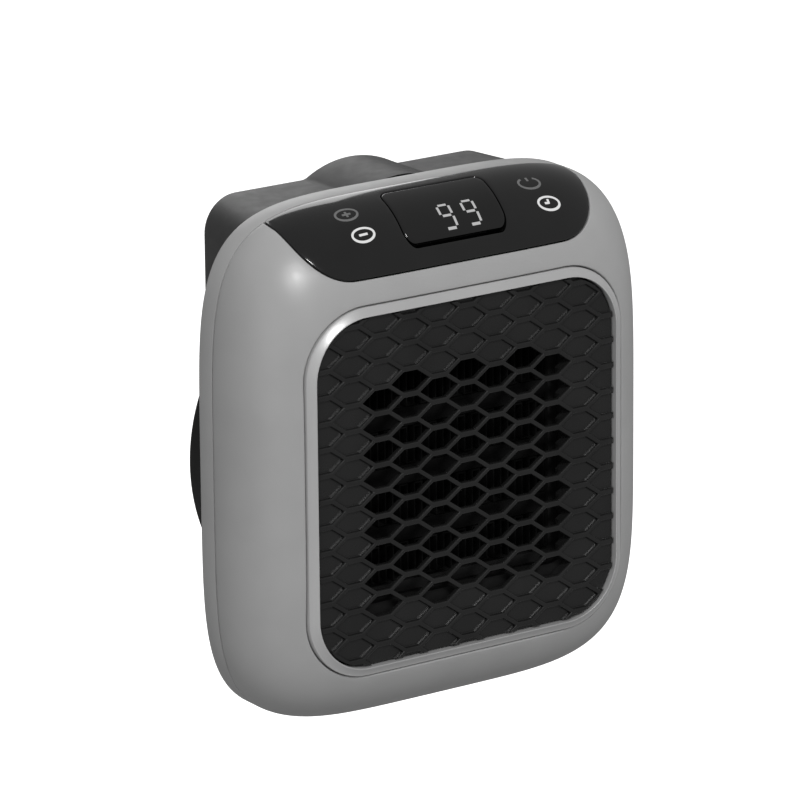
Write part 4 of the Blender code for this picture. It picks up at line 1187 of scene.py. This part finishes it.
def skin_nodes():
    """Materials for the CAD nodes that stay as they are."""
    skins = {
        "grille_carrier": BLACK_PBT, "air_duct": BLACK_PBT, "fan_rotor": BLACK_ABS,
        "heater_frame": BLACK_PBT, "contact_plate": MICA_BOARD, "fan_motor": ZINC_STEEL,
        "motor_bracket": ZINC_STEEL, "fan_shaft": ZINC_STEEL, "display_board": FIBREGLASS_BOARD,
        "main_board": FIBREGLASS_BOARD, "led_digit_module": BLACK_PBT, "heater_relay": RELAY_BLUE,
        "smoothing_capacitor": BLACK_PBT, "power_module": BLACK_PBT, "thermal_cutout": ZINC_STEEL,
        "thermal_fuse": WHITE_PBT, "blade_carrier": WHITE_PBT, "plug_retainer": BLACK_PBT,
        "switch_case": BLACK_ABS, "power_rocker": BLACK_ABS, "detent_spring": SPRING_STEEL,
        "plug_disc": DARK_GREY_ABS, "display_lens": SMOKED_ACRYLIC,
        "control_panel": GLOSS_BLACK_ACRYLIC,
        "front_shell": SATIN_GREY_ABS, "back_frame": SATIN_GREY_ABS, "grille_ring": SATIN_SILVER,
        "honeycomb_grille": BLACK_ABS, "intake_drum": BLACK_ABS, "plug_box": DARK_GREY_ABS,
        # The heater's bars and fins take the near-black painted shade of the grille's open cells.
        "ceramic_bar": FINS_PAINTED_SHADE, "fin_bank": FINS_PAINTED_SHADE,
        "touch_spring": SPRING_STEEL, "slip_ring": BRASS, "contact_leaf": BRASS,
        "plug_blade": NICKEL_BRASS, "case_screw": ZINC_STEEL,
    }
    for name, thing in frame["nodes"].items():
        start = max((key for key in skins if name.startswith(key)), key=len)
        thing.data.materials.clear()
        thing.data.materials.append(skins[start])


def area_light(name, place, aim, size, power, shape="RECTANGLE", glossy=True):
    data = bpy.data.lights.new(name, "AREA")
    data.shape = shape
    data.size, data.size_y = size
    data.energy = power
    made = bpy.data.objects.new(name, data)
    made.location = place
    made.rotation_euler = (Vector(aim) - Vector(place)).to_track_quat("-Z", "Y").to_euler()
    made.visible_glossy = glossy
    bpy.context.scene.collection.objects.link(made)


def make_studio():
    data = bpy.data.cameras.new("camera")
    data.lens, data.sensor_width = 283.0, 36.0
    data.clip_start, data.clip_end = 0.01, 50.0
    camera = bpy.data.objects.new("camera", data)
    camera.location = world(CAMERA_PLACE)
    aim = (world(CAMERA_AIM) - camera.location).to_track_quat("-Z", "Y")
    camera.rotation_euler = (aim @ Quaternion((0, 0, 1), math.radians(CAMERA_ROLL))).to_euler()
    bpy.context.scene.collection.objects.link(camera)
    bpy.context.scene.camera = camera

    scene = bpy.context.scene
    scene.view_settings.view_transform = "Standard"
    sky = bpy.data.worlds.new("studio")
    scene.world = sky
    sky.use_nodes = True
    tree = sky.node_tree
    tree.nodes.clear()
    path = add(tree, "ShaderNodeLightPath")
    soft = add(tree, "ShaderNodeBackground", {"Color": (1, 1, 1, 1), "Strength": AMBIENT})
    white = add(tree, "ShaderNodeBackground", {"Color": (1, 1, 1, 1), "Strength": 1.05})
    mix = add(
        tree,
        "ShaderNodeMixShader",
        {},
        {0: path.outputs["Is Camera Ray"], 1: soft.outputs[0], 2: white.outputs[0]},
    )
    add(tree, "ShaderNodeOutputWorld", {}, {"Surface": mix.outputs[0]})

    paper, tree, shader = finish("floor_paper", {"Roughness": 0.9, "Emission Strength": 0.75})
    tint(tree, shader, grain(tree, 60.0), "#f4f4f4", "#f7f7f7")
    shader.inputs["Emission Color"].default_value = colour("#ffffff")
    level = cad_box_floor() - 0.35
    turns = [2 * math.pi * i / 64 for i in range(64)]
    rim = [(3.0 * math.cos(a), 3.0 * math.sin(a), level) for a in turns]
    floor_mesh = bpy.data.meshes.new("floor")
    floor_mesh.from_pydata(rim, [], [tuple(range(64))])
    floor_mesh.materials.append(paper)
    floor = bpy.data.objects.new("floor", floor_mesh)
    bpy.context.scene.collection.objects.link(floor)
    floor.visible_diffuse = floor.visible_glossy = False

    middle = world((0, 10, 0))
    area_light("key_softbox", world(KEY_PLACE), middle, (0.30, 0.30), KEY_POWER, "ELLIPSE")
    area_light("left_panel", (-1.3, -0.9, 0.1), middle, (0.9, 1.2), 10.5, glossy=False)
    area_light("front_fill", (0.2, -1.8, 0.5), middle, (1.2, 0.9), 8.0, glossy=False)
    area_light("right_fill", (1.5, -0.5, 0.2), middle, (0.9, 1.2), 7.5, glossy=False)
    area_light("top_strip", (0.2, 0.5, 1.4), middle, (1.0, 0.6), 9.0, glossy=False)
    area_light("rear_fill", (0.6, 1.8, 0.8), middle, (1.2, 1.2), 7.0)


def cad_box_floor():
    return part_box("back_frame")[0].z


def screw_places():
    """Middles of the four case screws in the back view."""
    boxes = [size_of(f"case_screw_{side}") for side in ("left", "right", "foot_left", "foot_right")]
    return [((low.x + high.x) / 2, (low.z + high.z) / 2) for low, high in boxes]


def main():
    skin_nodes()
    pieces = []
    shell = make_piece("front_shell_satin", *make_front_shell(), SATIN_GREY_ABS, 40)
    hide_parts("front_shell")
    pieces.append((shell, "housing", "grey_plastic"))
    pieces += make_panel()
    pieces += make_marks()
    pieces += make_ring()
    pieces += make_honeycomb()
    pieces += make_frame()
    pieces += make_plug_box()
    pieces += make_drum()
    pieces += make_plug()
    pieces += make_screws()
    for piece, body, slot in pieces:
        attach(piece, body)
    make_studio()


main()
